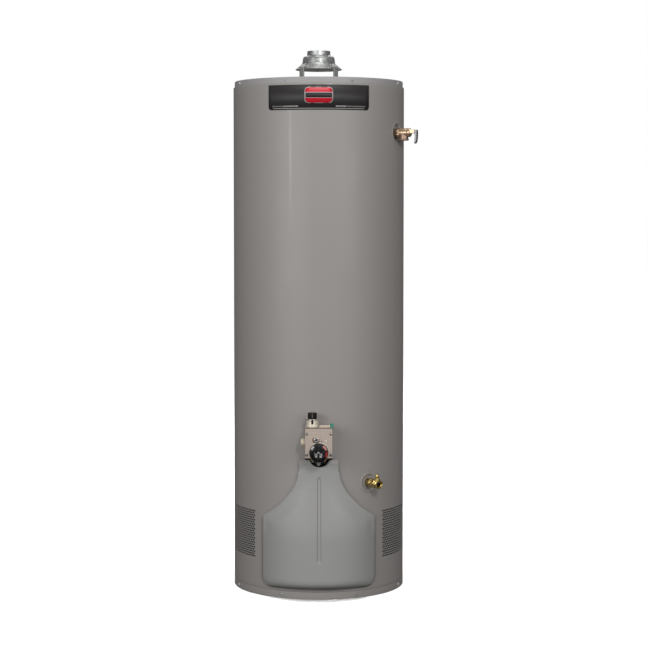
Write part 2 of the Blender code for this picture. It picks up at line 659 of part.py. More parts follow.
def build_gas_control():
    half = VALVE_HALF_WIDTH
    body = prism("gas_valve_body", box_outline(-half, VALVE_BACK, half, PLATE_BACK), "cast_aluminium",
                 VALVE_BOTTOM, VALVE_TOP)
    bevel(body, 0.004)
    place = radial(0, SHANK_HEIGHT)
    shank = prism("valve_shank", polygon(24, 0.0121), None, 0.222, 0.280, place)
    nut = prism("valve_nut", polygon(6, 0.0165), None, 0.2660, 0.2720, place)
    join(body, shank)
    join(body, nut)
    holes = face_holes()
    cut(body, holes)
    shaft = rods("cock_shaft_hole", [(at(COCK_X, COCK_Y), 0.0036, 0.495, 0.530)], steps=16)
    cut(body, shaft)
    rim = 0.001
    plate = prism("gas_valve_face_plate", box_outline(rim - half, PLATE_BACK - GAP, half - rim, PLATE_FRONT),
                  "cast_aluminium", VALVE_BOTTOM + rim, VALVE_TOP - rim)
    bevel(plate, 0.003)
    cut(plate, holes)
    solid("thermostat_probe", rod_profile(0.0050, 0.075, 0.2210), "copper", steps=16, place=place)
    for index, (x, z) in enumerate(screw_places()):
        solid("face_screw_%d" % (index + 1), [(0, 0.0028), (0.0030, 0.0026), (0.0042, 0.0012), (0.0042, GAP),
                                              (0.0018, GAP), (0.0018, -0.0120), (0, -0.0120)],
              "bright_steel", steps=12, place=face_frame(x, z))
    solid("pilot_adjust_screw", [(0, 0.0055), (0.0078, 0.0055), (0.0088, 0.0045), (0.0088, GAP),
                                 (0.0040, GAP), (0.0040, -0.0120), (0, -0.0120)], "cast_aluminium",
          steps=24, place=face_frame(-0.007, 0.489))
    solid("temperature_dial", [(0, 0.0230), (0.0180, 0.0230), (0.0192, 0.0215), (0.0205, 0.0070),
                               (0.0265, 0.0060), (DIAL_RADIUS, 0.0048), (DIAL_RADIUS, 0.0010),
                               (0.0040, 0.0006), (0.0040, -0.0140), (0, -0.0140)], "black_plastic",
          steps=28, place=face_frame(0, DIAL_HEIGHT))
    side = Matrix.Rotation(-math.pi / 2, 4, "Y")
    ring("gas_inlet_fitting", [(0.0140, 0.0413), (0.0140, 0.0430), (0.0130, 0.0440), (0.0130, 0.0520),
                               (0.0120, 0.0530), (0.0092, 0.0530), (0.0092, 0.0413)], "cast_aluminium",
         steps=24, place=at(0, COCK_Y, INLET_HEIGHT) @ side)
    build_gas_cock()


def face_frame(x, z):
    """A frame on the control's face whose +Z points out to the front."""
    return at(x, PLATE_FRONT, z) @ Matrix.Rotation(math.pi / 2, 4, "X")


def build_gas_cock():
    place = at(COCK_X, COCK_Y)
    base = VALVE_TOP + GAP
    ring("gas_cock_neck", [(0.0190, base), (0.0190, 0.5330), (0.0175, 0.5350), (0.0175, 0.5410),
                           (0.0160, 0.5425), (0.0100, 0.5425), (0.0100, 0.5550), (0.0036, 0.5550),
                           (0.0036, base)], "cast_aluminium", steps=24, place=place)
    solid("gas_cock_stem", rod_profile(0.0033, 0.4960, 0.5600), "bright_steel", steps=16, place=place)
    solid("gas_knob", [(0, 0.5670), (0.0120, 0.5670), (0.0135, 0.5655), (0.0135, 0.5482),
                       (0.0116, 0.5482), (0.0116, 0.5620), (0.0037, 0.5620), (0.0037, 0.5654),
                       (0, 0.5654)], "black_plastic", steps=24, place=place)


# Combustion chamber

def build_chamber():
    skirt = ring("combustion_skirt", tube_profile(SKIRT_RADIUS, SKIRT_RADIUS - 0.002, 0.0018,
                                                  TANK_BOTTOM - GAP), "tank_steel", steps=TANK_STEPS)
    upright = Matrix.Rotation(math.pi / 2, 4, "X")
    cut(skirt, prism("skirt_window", box_outline(-0.070, 0.090, 0.070, 0.200), None, 0.15, 0.30, upright))
    solid("flame_arrestor_plate", [(0, 0.0400), (0.150, 0.0400), (0.215, 0.0320), (0.2255, 0.0320),
                                   (0.2240, 0.0300), (0.214, 0.0300), (0.150, 0.0380),
                                   (0, 0.0380)], "tank_steel", steps=TANK_STEPS)
    solid("burner", [(0, 0.1120), (0.060, 0.1080), (0.078, 0.1000), (0.080, 0.0960), (0.072, 0.0920),
                     (0.030, 0.0900), (0.024, 0.0820), (0.020, 0.0820), (0.020, 0.0950), (0, 0.0950)],
          "tank_steel", steps=20)
    half_arc = 0.40
    holes = rods("door_holes", [
        (at(0, 0, 0.112) @ upright, 0.0076, 0.20, 0.30),
        (at(-0.018, 0, 0.112) @ upright, 0.0045, 0.20, 0.30),
        (at(0.018, 0, 0.112) @ upright, 0.0034, 0.20, 0.30),
        (at(0.045, 0, 0.165) @ upright, 0.0120, 0.20, 0.30),
    ])
    door = curved_plate("inner_door", 0.2312, 0.0015, half_arc, 0.072, 0.218, "tank_steel")
    cut(door, holes)
    gasket = curved_plate("door_gasket", 0.2288, 0.0021, half_arc - 0.02, 0.077, 0.213, "gasket")
    cut(gasket, prism("gasket_window", box_outline(-0.072, 0.088, 0.072, 0.202), None, 0.15, 0.30, upright))
    solid("sight_glass", rod_profile(0.0160, 0.2325, 0.2360), "glass", steps=20,
          place=at(0.045, 0, 0.165) @ upright)
    bracket = prism("pilot_assembly", box_outline(-0.046, -0.104, -0.022, -0.090), "bright_steel",
                    0.0860, 0.1220)
    bevel(bracket, 0.002)


def build_tubes():
    pipe("manifold_tube", [(0, -0.296, 0.4336), (0, -0.296, 0.428), (0, -0.2905, 0.4175),
                           (0, -0.278, 0.4115), (0, -0.264, 0.4095), (0, -0.2525, 0.404),
                           (0, -0.2465, 0.391), (0, -0.246, 0.360), (0, -0.246, 0.155),
                           (0, -0.2455, 0.130), (0, -0.242, 0.1170), (0, -0.234, 0.1120),
                           (0, -0.222, 0.112), (0, -0.150, 0.110), (0, -0.115, 0.086),
                           (0, -0.070, 0.072), (0, -0.008, 0.072)],
         0.00635, "tube_aluminium", sides=2)
    tails = {
        "pilot_tube": [(-0.030, -0.180, 0.104), (-0.040, -0.130, 0.086), (-0.040, -0.100, 0.078),
                       (-0.040, -0.097, 0.0857)],
        "thermocouple_lead": [(0.012, -0.195, 0.097), (-0.010, -0.165, 0.088), (-0.026, -0.130, 0.080),
                              (-0.028, -0.100, 0.078), (-0.028, -0.097, 0.0857)],
    }
    for name, x, radius, look in (("pilot_tube", -0.018, 0.0032, "tube_aluminium"),
                                  ("thermocouple_lead", 0.018, 0.0021, "copper")):
        drop = [(x, -0.300, 0.4341), (x, -0.300, 0.430), (x, -0.294, 0.4215), (x, -0.280, 0.418),
                (x, -0.264, 0.417), (x, -0.251, 0.411), (x, -0.245, 0.397), (x, -0.2445, 0.360),
                (x, -0.2445, 0.150), (x, -0.244, 0.126), (x, -0.240, 0.1145), (x, -0.233, 0.112),
                (x, -0.222, 0.112)]
        pipe(name, drop + tails[name], radius, look)


def build_screens():
    """Fine screens just inside the vent fields."""
    middle = math.radians((VENT_FIRST + VENT_LAST) / 2)
    half = math.radians((VENT_LAST - VENT_FIRST) / 2 + 1.5)
    for name, side in (("air_screen_right", 1), ("air_screen_left", -1)):
        curved_plate(name, 0.2602, 0.0008, half, VENT_BOTTOM - 0.006, VENT_TOP + 0.005, "tank_steel",
                     centre=side * middle, steps=20)


# Draft hood and badge

def build_hood():
    wall = 0.001
    outside = [(HOOD_LIP_RADIUS, HOOD_LIP), (HOOD_LIP_RADIUS, HOOD_LIP + 0.001), (DRUM_RADIUS, DRUM_BOTTOM),
               (0.0487, 1.6305), (0.0460, 1.6358), (0.0363, 1.6385), (COLLAR_RADIUS, HOOD_TOP)]
    inside = [(r - wall * 1.2, z - wall * 0.4) for r, z in reversed(outside[:-1])]
    mouth = (COLLAR_RADIUS - wall * 1.2, HOOD_TOP)
    ring("draft_hood", [*outside, mouth, *inside], "galvanised", steps=32)
    for index in range(4):
        build_leg(index)


def build_leg(index):
    """A strap with a foot on the lid, an upright and a tab folded over the cone."""
    low = LID_TOP + GAP
    thick = 0.0012
    face = HOOD_LIP_RADIUS + 0.0005
    lean = (HOOD_LIP_RADIUS - DRUM_RADIUS) / (DRUM_BOTTOM - HOOD_LIP)
    tab_rise = 0.0115
    tab_in = tab_rise * lean
    outline = [(face + 0.012, low), (face + 0.012, low + thick), (face + thick, low + thick),
               (face + thick, HOOD_LIP + 0.0025), (face + 0.0009 - tab_in, HOOD_LIP + 0.0032 + tab_rise),
               (face - tab_in, HOOD_LIP + 0.0020 + tab_rise), (face, HOOD_LIP + 0.0015), (face, low)]
    turn = Matrix.Rotation(math.radians(45 + 90 * index), 4, "Z")
    stand = Matrix(((1, 0, 0), (0, 0, -1), (0, 1, 0))).to_4x4()
    prism("hood_leg_%d" % (index + 1), outline, "galvanised", -0.0095, 0.0095, turn @ stand)


def build_badge():
    curved_plate("name_badge", RADIUS + GAP, 0.0006, math.radians(34.35), 1.460, 1.534, "badge", steps=20)


def main():
    for obj in list(bpy.data.objects):
        bpy.data.objects.remove(obj)
    build_jacket()
    build_pans()
    build_cover()
    build_tank()
    build_water_side()
    build_relief_valve()
    build_drain_valve()
    build_gas_control()
    build_chamber()
    build_tubes()
    build_screens()
    build_hood()
    build_badge()


main()
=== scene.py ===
"""Looks of a tall gas water heater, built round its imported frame. Metres, +Z up, the front faces -Y.

Angles round the heater are measured in degrees from the front towards +X.
"""

import json
import math

import bmesh
import bpy
from mathutils import Matrix, Vector
from mathutils.geometry import intersect_point_line


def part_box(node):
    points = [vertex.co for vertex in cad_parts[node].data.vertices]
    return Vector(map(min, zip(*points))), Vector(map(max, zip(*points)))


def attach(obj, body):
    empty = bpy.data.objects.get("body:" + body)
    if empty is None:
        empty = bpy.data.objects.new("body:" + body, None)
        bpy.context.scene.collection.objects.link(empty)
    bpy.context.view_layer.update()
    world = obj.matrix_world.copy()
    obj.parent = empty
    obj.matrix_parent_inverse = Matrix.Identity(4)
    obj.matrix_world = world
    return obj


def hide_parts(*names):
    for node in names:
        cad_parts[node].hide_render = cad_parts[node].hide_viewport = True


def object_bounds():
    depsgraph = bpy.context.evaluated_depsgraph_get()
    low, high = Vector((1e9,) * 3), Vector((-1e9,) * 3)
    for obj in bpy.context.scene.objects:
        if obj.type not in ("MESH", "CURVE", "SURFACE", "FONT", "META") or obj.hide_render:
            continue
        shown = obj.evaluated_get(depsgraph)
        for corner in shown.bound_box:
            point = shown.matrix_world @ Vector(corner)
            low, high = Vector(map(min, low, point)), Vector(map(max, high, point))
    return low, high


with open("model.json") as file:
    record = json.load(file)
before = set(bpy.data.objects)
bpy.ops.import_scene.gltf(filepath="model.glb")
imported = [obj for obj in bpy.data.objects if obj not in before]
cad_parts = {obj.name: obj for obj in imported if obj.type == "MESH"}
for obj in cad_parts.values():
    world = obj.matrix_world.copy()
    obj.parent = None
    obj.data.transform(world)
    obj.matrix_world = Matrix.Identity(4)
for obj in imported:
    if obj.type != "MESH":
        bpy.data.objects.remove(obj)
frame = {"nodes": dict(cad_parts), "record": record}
cad_low, cad_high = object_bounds()

# Places and sizes, from the frame
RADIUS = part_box("jacket")[1].x
PAN_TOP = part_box("bottom_pan")[1].z
LID_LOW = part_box("top_pan")[0].z
LID_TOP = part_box("top_pan")[1].z
LID_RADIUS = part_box("top_pan")[1].x
HOOD_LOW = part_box("draft_hood")[0].z
HOOD_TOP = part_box("draft_hood")[1].z
LIP_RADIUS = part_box("draft_hood")[1].x
COVER_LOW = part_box("outer_cover")[0].z
COVER_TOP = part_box("outer_cover")[1].z
BADGE_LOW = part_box("name_badge")[0].z
BADGE_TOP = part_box("name_badge")[1].z
PLATE_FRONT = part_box("gas_valve_face_plate")[0].y
CONTROL_LOW, CONTROL_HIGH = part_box("gas_valve_body")
COCK = (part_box("gas_cock_stem")[0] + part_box("gas_cock_stem")[1]) / 2
DIAL = (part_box("temperature_dial")[0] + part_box("temperature_dial")[1]) / 2
KNOB_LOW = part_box("gas_knob")[0].z
KNOB_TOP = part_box("gas_knob")[1].z

# Sizes of the finer shapes
SHEET = 0.001
COLUMNS = 376
CELL = math.tau * RADIUS / COLUMNS
VENT_ROWS = 21
VENT_PITCH = 0.0069
VENT_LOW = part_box("air_screen_right")[0].z + 0.0047
VENT_HIGH = VENT_LOW + VENT_ROWS * VENT_PITCH
VENT_COLUMN = 49
VENT_SLOTS = 33
SLOT_HALF_LENGTH = 0.0039
SLOT_HALF_HEIGHT = 0.0023
TP_HOLE = 0.0285
DRAIN_HOLE = 0.025
SHANK_HOLE = 0.02
FLUE_HOLE = 0.0528
WINDOW_LOW = 0.08
WINDOW_SHOULDER = 0.232
WINDOW_NECK = 0.302
WINDOW_TOP = 0.428
WINDOW_HALF = 0.118
NECK_HALF = 0.04
COVER_HALF_ARC = 0.1795
COVER_CORNER = 0.034
COVER_ROLL = ((0.0004, 0.0012), (0.0008, 0.0011), (0.0014, 0.001), (0.0022, 0.0007), (0.003, 0.0004),
              (0.003, 0.0002))
COVER_GRID = 0.0075
CROWN = 0.032
CROWN_REACH = 0.165
FOOT_REACH = 0.022
SHOULDER_REACH = 0.05
CROWN_START = 0.38
CROWN_FULL = 0.18
GROOVE_X = 0.001
GROOVE_LOW = 0.117
GROOVE_HIGH = 0.3675
GROOVE_HALF = 0.0054
GROOVE_DEPTH = 0.0036
BADGE_HALF_ARC = math.radians(34.35) * RADIUS
PAN_SCREW_HEAD = 0.0026


def centre_of(node):
    low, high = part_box(node)
    return (low + high) / 2


def bearing(node):
    """The angle round the heater at which a node sits, in degrees."""
    centre = centre_of(node)
    return math.degrees(math.atan2(centre.x, -centre.y))


TP_ANGLE = bearing("tp_recess_cup")
TP_HEIGHT = centre_of("tp_recess_cup").z
DRAIN_ANGLE = bearing("drain_recess_cup")
DRAIN_HEIGHT = centre_of("drain_recess_cup").z
SHANK_HEIGHT = centre_of("thermostat_probe").z


# Materials

def node_tree(name):
    made = bpy.data.materials.new(name)
    made.use_nodes = True
    tree = made.node_tree
    shader = tree.nodes["Principled BSDF"]
    coordinates = tree.nodes.new("ShaderNodeTexCoord")
    return made, tree, shader, coordinates.outputs["Object"]


def added(tree, kind, links, **values):
    """A new shader node, its inputs linked or set by name."""
    made = tree.nodes.new("ShaderNode" + kind)
    for name, value in values.items():
        made.inputs[name.replace("_", " ")].default_value = value
    for name, source in links.items():
        tree.links.new(source, made.inputs[name])
    return made


def stretched(tree, place, stretch):
    return added(tree, "Mapping", {"Vector": place}, Scale=stretch).outputs["Vector"]


def noise(tree, place, scale, detail=3.0):
    return added(tree, "TexNoise", {"Vector": place}, Scale=scale, Detail=detail).outputs["Fac"]


def spangle(tree, place, scale):
    """Flat crystals of random tone."""
    crystals = added(tree, "TexVoronoi", {"Vector": place}, Scale=scale, Randomness=1.0)
    return added(tree, "SeparateColor", {"Color": crystals.outputs["Color"]}).outputs["Red"]


def ranged(tree, value, low, high, start=0.3, end=0.7):
    made = added(tree, "MapRange", {"Value": value}, From_Min=start, From_Max=end, To_Min=low, To_Max=high)
    return made.outputs["Result"]


def blended(tree, amount, first, second):
    """A colour between two; each is a colour or the output of another blend."""
    made = tree.nodes.new("ShaderNodeMix")
    made.data_type = "RGBA"
    tree.links.new(amount, made.inputs["Factor"])
    for name, value in (("A", first), ("B", second)):
        socket = next(s for s in made.inputs if s.name == name and s.type == "RGBA")
        if isinstance(value, bpy.types.NodeSocket):
            tree.links.new(value, socket)
        else:
            socket.default_value = (*value, 1.0)
    return next(s for s in made.outputs if s.type == "RGBA")


def scaled(colour, factor):
    return tuple(min(c * factor, 1.0) for c in colour)


def surface(name, colour, roughness, metallic, grain, tint, bump, stretch=None, cells=None, dirt=None,
            dirt_amount=0.25, spread=0.05, gloss=0.5, coat=0.0, clear=0.0):
    """A finish with fine grain, slow blotches, uneven gloss and a fine bump."""
    made, tree, shader, place = node_tree(name)
    fine_place = stretched(tree, place, stretch) if stretch else place
    fine = spangle(tree, place, cells) if cells else noise(tree, fine_place, grain)
    slow = noise(tree, place, 7.0, 4.0)
    span = (0.0, 1.0) if cells else (0.3, 0.7)
    grained = blended(tree, ranged(tree, fine, 0.0, 1.0, *span), scaled(colour, 1 - tint),
                      scaled(colour, 1 + tint))
    toned = blended(tree, ranged(tree, slow, 0.0, dirt_amount), grained, dirt or scaled(colour, 0.86))
    tree.links.new(toned, shader.inputs["Base Color"])
    rough = ranged(tree, fine if cells or stretch else slow, roughness - spread, roughness + spread, *span)
    tree.links.new(rough, shader.inputs["Roughness"])
    for label, value in (("Metallic", metallic), ("Specular IOR Level", gloss), ("Coat Weight", coat),
                         ("Coat Roughness", 0.1), ("Transmission Weight", clear)):
        shader.inputs[label].default_value = value
    rise = noise(tree, fine_place, grain, 2.0)
    relief = added(tree, "Bump", {"Height": rise}, Strength=bump, Distance=0.0004)
    tree.links.new(relief.outputs["Normal"], shader.inputs["Normal"])
    return made


# Each finish: colour, roughness, metallic, grain, tint, bump, and what else differs from surface()
FINISHES = {
    "jacket_paint": ((0.318, 0.299, 0.287), 0.46, 0, 620, 0.03, 0.05,
                     {"dirt_amount": 0.12, "gloss": 0.28, "coat": 0.05}),
    "cover_paint": ((0.34, 0.338, 0.33), 0.52, 0, 800, 0.04, 0.14, {"dirt_amount": 0.15, "gloss": 0.3}),
    "lid_paint": ((0.36, 0.345, 0.345), 0.58, 0, 1100, 0.12, 0.35, {"dirt_amount": 0.3}),
    "galvanised": ((0.46, 0.47, 0.46), 0.4, 0.8, 500, 0.14, 0.1, {"cells": 150, "spread": 0.08}),
    "tank_steel": ((0.11, 0.115, 0.125), 0.5, 0.7, 500, 0.12, 0.25,
                   {"dirt": (0.1, 0.065, 0.045), "dirt_amount": 0.5}),
    "screen": ((0.02, 0.02, 0.02), 0.7, 0.3, 1500, 0.3, 0.5, {}),
    "bright_steel": ((0.56, 0.56, 0.55), 0.28, 1, 900, 0.08, 0.08, {"stretch": (1, 1, 0.06)}),
    "zinc": ((0.74, 0.74, 0.71), 0.36, 0.35, 900, 0.06, 0.06, {}),
    "strap_steel": ((0.27, 0.28, 0.27), 0.6, 0.5, 500, 0.12, 0.1, {}),
    # A darker brown brass for the relief valve's downward outlet: painted shade under the valve, with random
    # dirt blotches.
    "outlet_brass_painted_shade": ((0.4, 0.29, 0.23), 0.42, 0.75, 500, 0.08, 0.08,
                   {"dirt": (0.2, 0.12, 0.08), "dirt_amount": 0.5}),
    "lever_steel": ((0.26, 0.255, 0.265), 0.42, 0.7, 900, 0.1, 0.08, {}),
    "cast_aluminium": ((0.6, 0.505, 0.435), 0.47, 0.5, 1000, 0.16, 0.45,
                       {"dirt": (0.38, 0.3, 0.25), "dirt_amount": 0.35}),
    "light_casting": ((0.74, 0.68, 0.57), 0.45, 0.3, 1000, 0.1, 0.3,
                      {"dirt": (0.5, 0.42, 0.3), "dirt_amount": 0.35}),
    "tube_aluminium": ((0.52, 0.5, 0.48), 0.34, 1, 700, 0.08, 0.1, {}),
    "copper": ((0.46, 0.23, 0.14), 0.34, 1, 500, 0.1, 0.08, {"dirt": (0.22, 0.11, 0.07), "dirt_amount": 0.5}),
    "brass": ((0.8, 0.62, 0.24), 0.24, 1, 500, 0.05, 0.03, {"dirt": (0.46, 0.3, 0.1), "dirt_amount": 0.45}),
    "dull_brass": ((0.66, 0.52, 0.36), 0.33, 0.85, 500, 0.06, 0.06,
                   {"dirt": (0.34, 0.19, 0.1), "dirt_amount": 0.55}),
    "black_plastic": ((0.009, 0.009, 0.01), 0.32, 0, 1300, 0.2, 0.18, {"gloss": 0.25}),
    "blue_plastic": ((0.03, 0.11, 0.42), 0.42, 0, 1200, 0.05, 0.15, {}),
    "red_plastic": ((0.5, 0.03, 0.035), 0.42, 0, 1200, 0.05, 0.15, {}),
    "white_plastic": ((0.7, 0.7, 0.67), 0.45, 0, 1200, 0.05, 0.15, {}),
    "green_plastic": ((0.02, 0.26, 0.17), 0.45, 0, 1200, 0.05, 0.15, {}),
    "foam": ((0.66, 0.54, 0.3), 0.9, 0, 260, 0.14, 0.9, {"dirt_amount": 0.4}),
    "gasket": ((0.52, 0.49, 0.43), 0.95, 0, 420, 0.18, 0.8, {}),
    "badge": ((0.018, 0.0155, 0.016), 0.55, 0, 1400, 0.2, 0.05, {}),
    "light_print": ((0.52, 0.51, 0.5), 0.5, 0, 1600, 0.06, 0.04, {}),
    "grey_print": ((0.24, 0.24, 0.23), 0.5, 0, 1600, 0.08, 0.04, {}),
    "red_print": ((0.62, 0.012, 0.03), 0.42, 0, 1600, 0.05, 0.04, {}),
    "pink_print": ((0.62, 0.27, 0.26), 0.45, 0, 1600, 0.05, 0.04, {}),
    # Dark brown for the strip of painted shade above the gas control's face plate.
    "painted_gap_shade_brown": ((0.085, 0.055, 0.045), 0.75, 0, 900, 0.2, 0.2, {}),
    # Near black: painted shade for the gap round the face plate, the pilot socket and the drain bore; also
    # the colour of the index tick.
    "dark_gap": ((0.01, 0.009, 0.009), 0.85, 0, 900, 0.3, 0.2, {}),
    "glass": ((0.85, 0.9, 0.88), 0.05, 0, 300, 0.02, 0.02, {"spread": 0.02, "clear": 0.9}),
}
LOOKS = {name: surface(name, *values, **extras) for name, (*values, extras) in FINISHES.items()}


# Mesh helpers

def placed(name, data):
    obj = bpy.data.objects.new(name, data)
    bpy.context.scene.collection.objects.link(obj)
    return obj


def meshed(obj):
    """A new mesh of an object, with its modifiers worked in."""
    return bpy.data.meshes.new_from_object(obj.evaluated_get(bpy.context.evaluated_depsgraph_get()))


def from_curve(curve):
    """A bmesh of a curve or a text."""
    source = placed(curve.name, curve)
    bm = bmesh.new()
    bm.from_mesh(meshed(source))
    bpy.data.objects.remove(source)
    return bm


def smoothed(mesh):
    mesh.shade_smooth()
    mesh.set_sharp_from_angle(angle=math.radians(38))


def piece(name, bm, look, body="heater", nodes=(), place=None):
    """Turn a bmesh into a piece that rides on a body, with its place worked into its points."""
    bmesh.ops.recalc_face_normals(bm, faces=bm.faces)
    mesh = bpy.data.meshes.new(name)
    bm.to_mesh(mesh)
    bm.free()
    if place:
        mesh.transform(place)
    obj = placed(name, mesh)
    smoothed(mesh)
    if look:
        mesh.materials.append(LOOKS[look])
        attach(obj, body)
        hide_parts(*nodes)
    return obj


def settle(obj):
    """Work an object's modifiers into its mesh."""
    mesh = meshed(obj)
    obj.modifiers.clear()
    obj.data = mesh
    smoothed(mesh)


def carve(obj, *cutters):
    """Cut shapes out of a piece and throw the cutters away."""
    for cutter in cutters:
        modifier = obj.modifiers.new("cut", "BOOLEAN")
        modifier.object = cutter
        modifier.solver = "EXACT"
    settle(obj)
    for cutter in cutters:
        bpy.data.objects.remove(cutter)


def bevelled(obj, width, segments, angle=35):
    modifier = obj.modifiers.new("edges", "BEVEL")
    modifier.width = width
    modifier.segments = segments
    modifier.limit_method = "ANGLE"
    modifier.angle_limit = math.radians(angle)
    return obj


def thickened(obj, thickness, side):
    modifier = obj.modifiers.new("sheet", "SOLIDIFY")
    modifier.thickness = thickness
    modifier.offset = side
    return obj


def spread(first, last, count):
    """Evenly spaced values, without the first."""
    return [first + (last - first) * (i + 1) / count for i in range(count)]


def soften(points, radius, closed=True, pieces=4):
    """Round each corner of an outline with a short curve that starts this far from it."""
    points = [Vector(p) for p in points]
    soft = []
    for index, corner in enumerate(points):
        if not closed and index in (0, len(points) - 1):
            soft.append(corner)
            continue
        before = points[index - 1] - corner
        after = points[(index + 1) % len(points)] - corner
        start = corner + before * min(radius / before.length, 0.48)
        end = corner + after * min(radius / after.length, 0.48)
        for step in range(pieces + 1):
            t = step / pieces
            soft.append(start * (1 - t) ** 2 + corner * 2 * t * (1 - t) + end * t * t)
    return soft


def circle(radius, steps):
    turns = [math.tau * i / steps for i in range(steps)]
    return [(radius * math.cos(t), radius * math.sin(t)) for t in turns]


def arc(radius, first, last, steps):
    """Points of an arc, between two angles in degrees."""
    turns = [math.radians(first + (last - first) * i / steps) for i in range(steps + 1)]
    return [(radius * math.cos(t), radius * math.sin(t)) for t in turns]


def rectangle(half_x, half_y, x=0.0, y=0.0):
    return [(x - half_x, y - half_y), (x + half_x, y - half_y), (x + half_x, y + half_y),
            (x - half_x, y + half_y)]


def turned(profile, steps, closed=True):
    """A bmesh spun from a (radius, height) profile about Z."""
    bm = bmesh.new()
    verts = [bm.verts.new((p[0], 0, p[1])) for p in profile]
    edges = [bm.edges.new(pair) for pair in zip(verts, verts[1:])]
    if closed:
        edges.append(bm.edges.new((verts[-1], verts[0])))
    bmesh.ops.spin(bm, geom=verts + edges, cent=(0, 0, 0), axis=(0, 0, 1), angle=math.tau,
                   steps=steps, use_merge=True)
    bmesh.ops.remove_doubles(bm, verts=bm.verts, dist=1e-7)
    return bm


def lathe(name, profile, look, steps, closed=True, radius=0.0, **where):
    if radius:
        profile = soften(profile, radius, closed, 3)
    return piece(name, turned(profile, steps, closed), look, **where)


def extruded(outline, low, high):
    bm = bmesh.new()
    face = bm.faces.new([bm.verts.new((p[0], p[1], low)) for p in outline])
    made = bmesh.ops.extrude_face_region(bm, geom=[face])["geom"]
    top = [item for item in made if isinstance(item, bmesh.types.BMVert)]
    bmesh.ops.translate(bm, verts=top, vec=(0, 0, high - low))
    return bm


def prism(name, outline, look, low, high, **where):
    return piece(name, extruded(outline, low, high), look, **where)


def rod(place, radius, low, high):
    """A round cutter along a frame's Z."""
    return prism("cutter", circle(radius, 48), None, low, high, place=place)


def gathered(name, meshes, look, body="heater", nodes=()):
    """One piece made of several closed shapes, each given as a bmesh and its place."""
    whole = bmesh.new()
    for bm, place in meshes:
        bmesh.ops.recalc_face_normals(bm, faces=bm.faces)
        part = bpy.data.meshes.new("part")
        bm.to_mesh(part)
        bm.free()
        part.transform(place)
        whole.from_mesh(part)
        bpy.data.meshes.remove(part)
    return piece(name, whole, look, body=body, nodes=nodes)


def route(corners, pieces=6):
    """Points along a Catmull-Rom curve through the given points."""
    points = [Vector(c) for c in corners]
    padded = [2 * points[0] - points[1], *points, 2 * points[-1] - points[-2]]
    made = []
    for a, b, c, d in zip(padded, padded[1:], padded[2:], padded[3:]):
        for step in range(pieces):
            t = step / pieces
            made.append((2 * b + (c - a) * t + (2 * a - 5 * b + 4 * c - d) * t ** 2
                         + (3 * b - a - 3 * c + d) * t ** 3) / 2)
    return [*made, points[-1]]


def tube(name, corners, radius, look, nodes):
    curve = bpy.data.curves.new(name, "CURVE")
    curve.dimensions = "3D"
    curve.bevel_depth = radius
    curve.bevel_resolution = 5
    curve.use_fill_caps = True
    points = route(corners)
    spline = curve.splines.new("POLY")
    spline.points.add(len(points) - 1)
    for point, place in zip(spline.points, points):
        point.co = (*place, 1)
    return piece(name, from_curve(curve), look, nodes=nodes)


def radial(angle, height, distance=0.0):
    """A frame whose +Z points out of the jacket at this angle and whose +X points up."""
    turn = math.radians(angle)
    out = Vector((math.sin(turn), -math.cos(turn), 0))
    up = Vector((0, 0, 1))
    frame_at = Matrix((up, out.cross(up), out)).transposed().to_4x4()
    return Matrix.Translation(out * distance + up * height) @ frame_at


def on_face(x, z, y=PLATE_FRONT):
    """A frame on the gas control's face: +Z to the front, +X right, +Y up."""
    return Matrix.Translation((x, y, z)) @ Matrix.Rotation(math.pi / 2, 4, "X")


def at(x=0.0, y=0.0, z=0.0):
    return Matrix.Translation((x, y, z))


def wrapped(arc_length, height, reach):
    """A point at this distance round the jacket from the front, at this distance from the axis."""
    turn = arc_length / RADIUS
    return Vector((reach * math.sin(turn), -reach * math.cos(turn), height))


def sheet(rows, closed=False):
    """A skin through rows of points; closed also joins each row's end to its start."""
    bm = bmesh.new()
    grid = [[bm.verts.new(point) for point in row] for row in rows]
    for lower, upper in zip(grid, grid[1:]):
        for i in range(len(lower) if closed else len(lower) - 1):
            k = (i + 1) % len(lower)
            bm.faces.new((lower[i], lower[k], upper[k], upper[i]))
    return bm


def sliced(bm, across, value):
    """Cut a flat mesh along the line that is this far out in one direction."""
    bmesh.ops.bisect_plane(bm, geom=[*bm.verts, *bm.edges, *bm.faces], dist=1e-6,
                           plane_co=Vector(across) * value, plane_no=across)


def edges_of(outline):
    return list(zip(outline, outline[1:] + outline[:1]))


def nearest_on(edges, point):
    """The closest point of some edges of an outline."""
    feet = [start.lerp(end, min(max(intersect_point_line(point, start, end)[1], 0), 1))
            for start, end in edges]
    return min(feet, key=lambda foot: (foot - point).length)


def hex_screw(place, flange=0.0042, across=0.0064, height=0.003):
    """The washer and the six-sided head of a sheet metal screw."""
    washer = turned(soften([(0, 0.0009), (flange * 0.8, 0.0009), (flange, 0.0003), (flange, 0), (0, 0)],
                           0.0002, False, 2), 24, False)
    head = extruded(circle(across / math.sqrt(3), 6), 0.0006, height)
    dome = turned([(0, height + 0.0003), (across * 0.35, height + 0.0001), (across * 0.46, height - 0.0004),
                   (across * 0.3, height - 0.001), (0, height - 0.001)], 24, False)
    return [(washer, place), (head, place), (dome, place)]


# Jacket

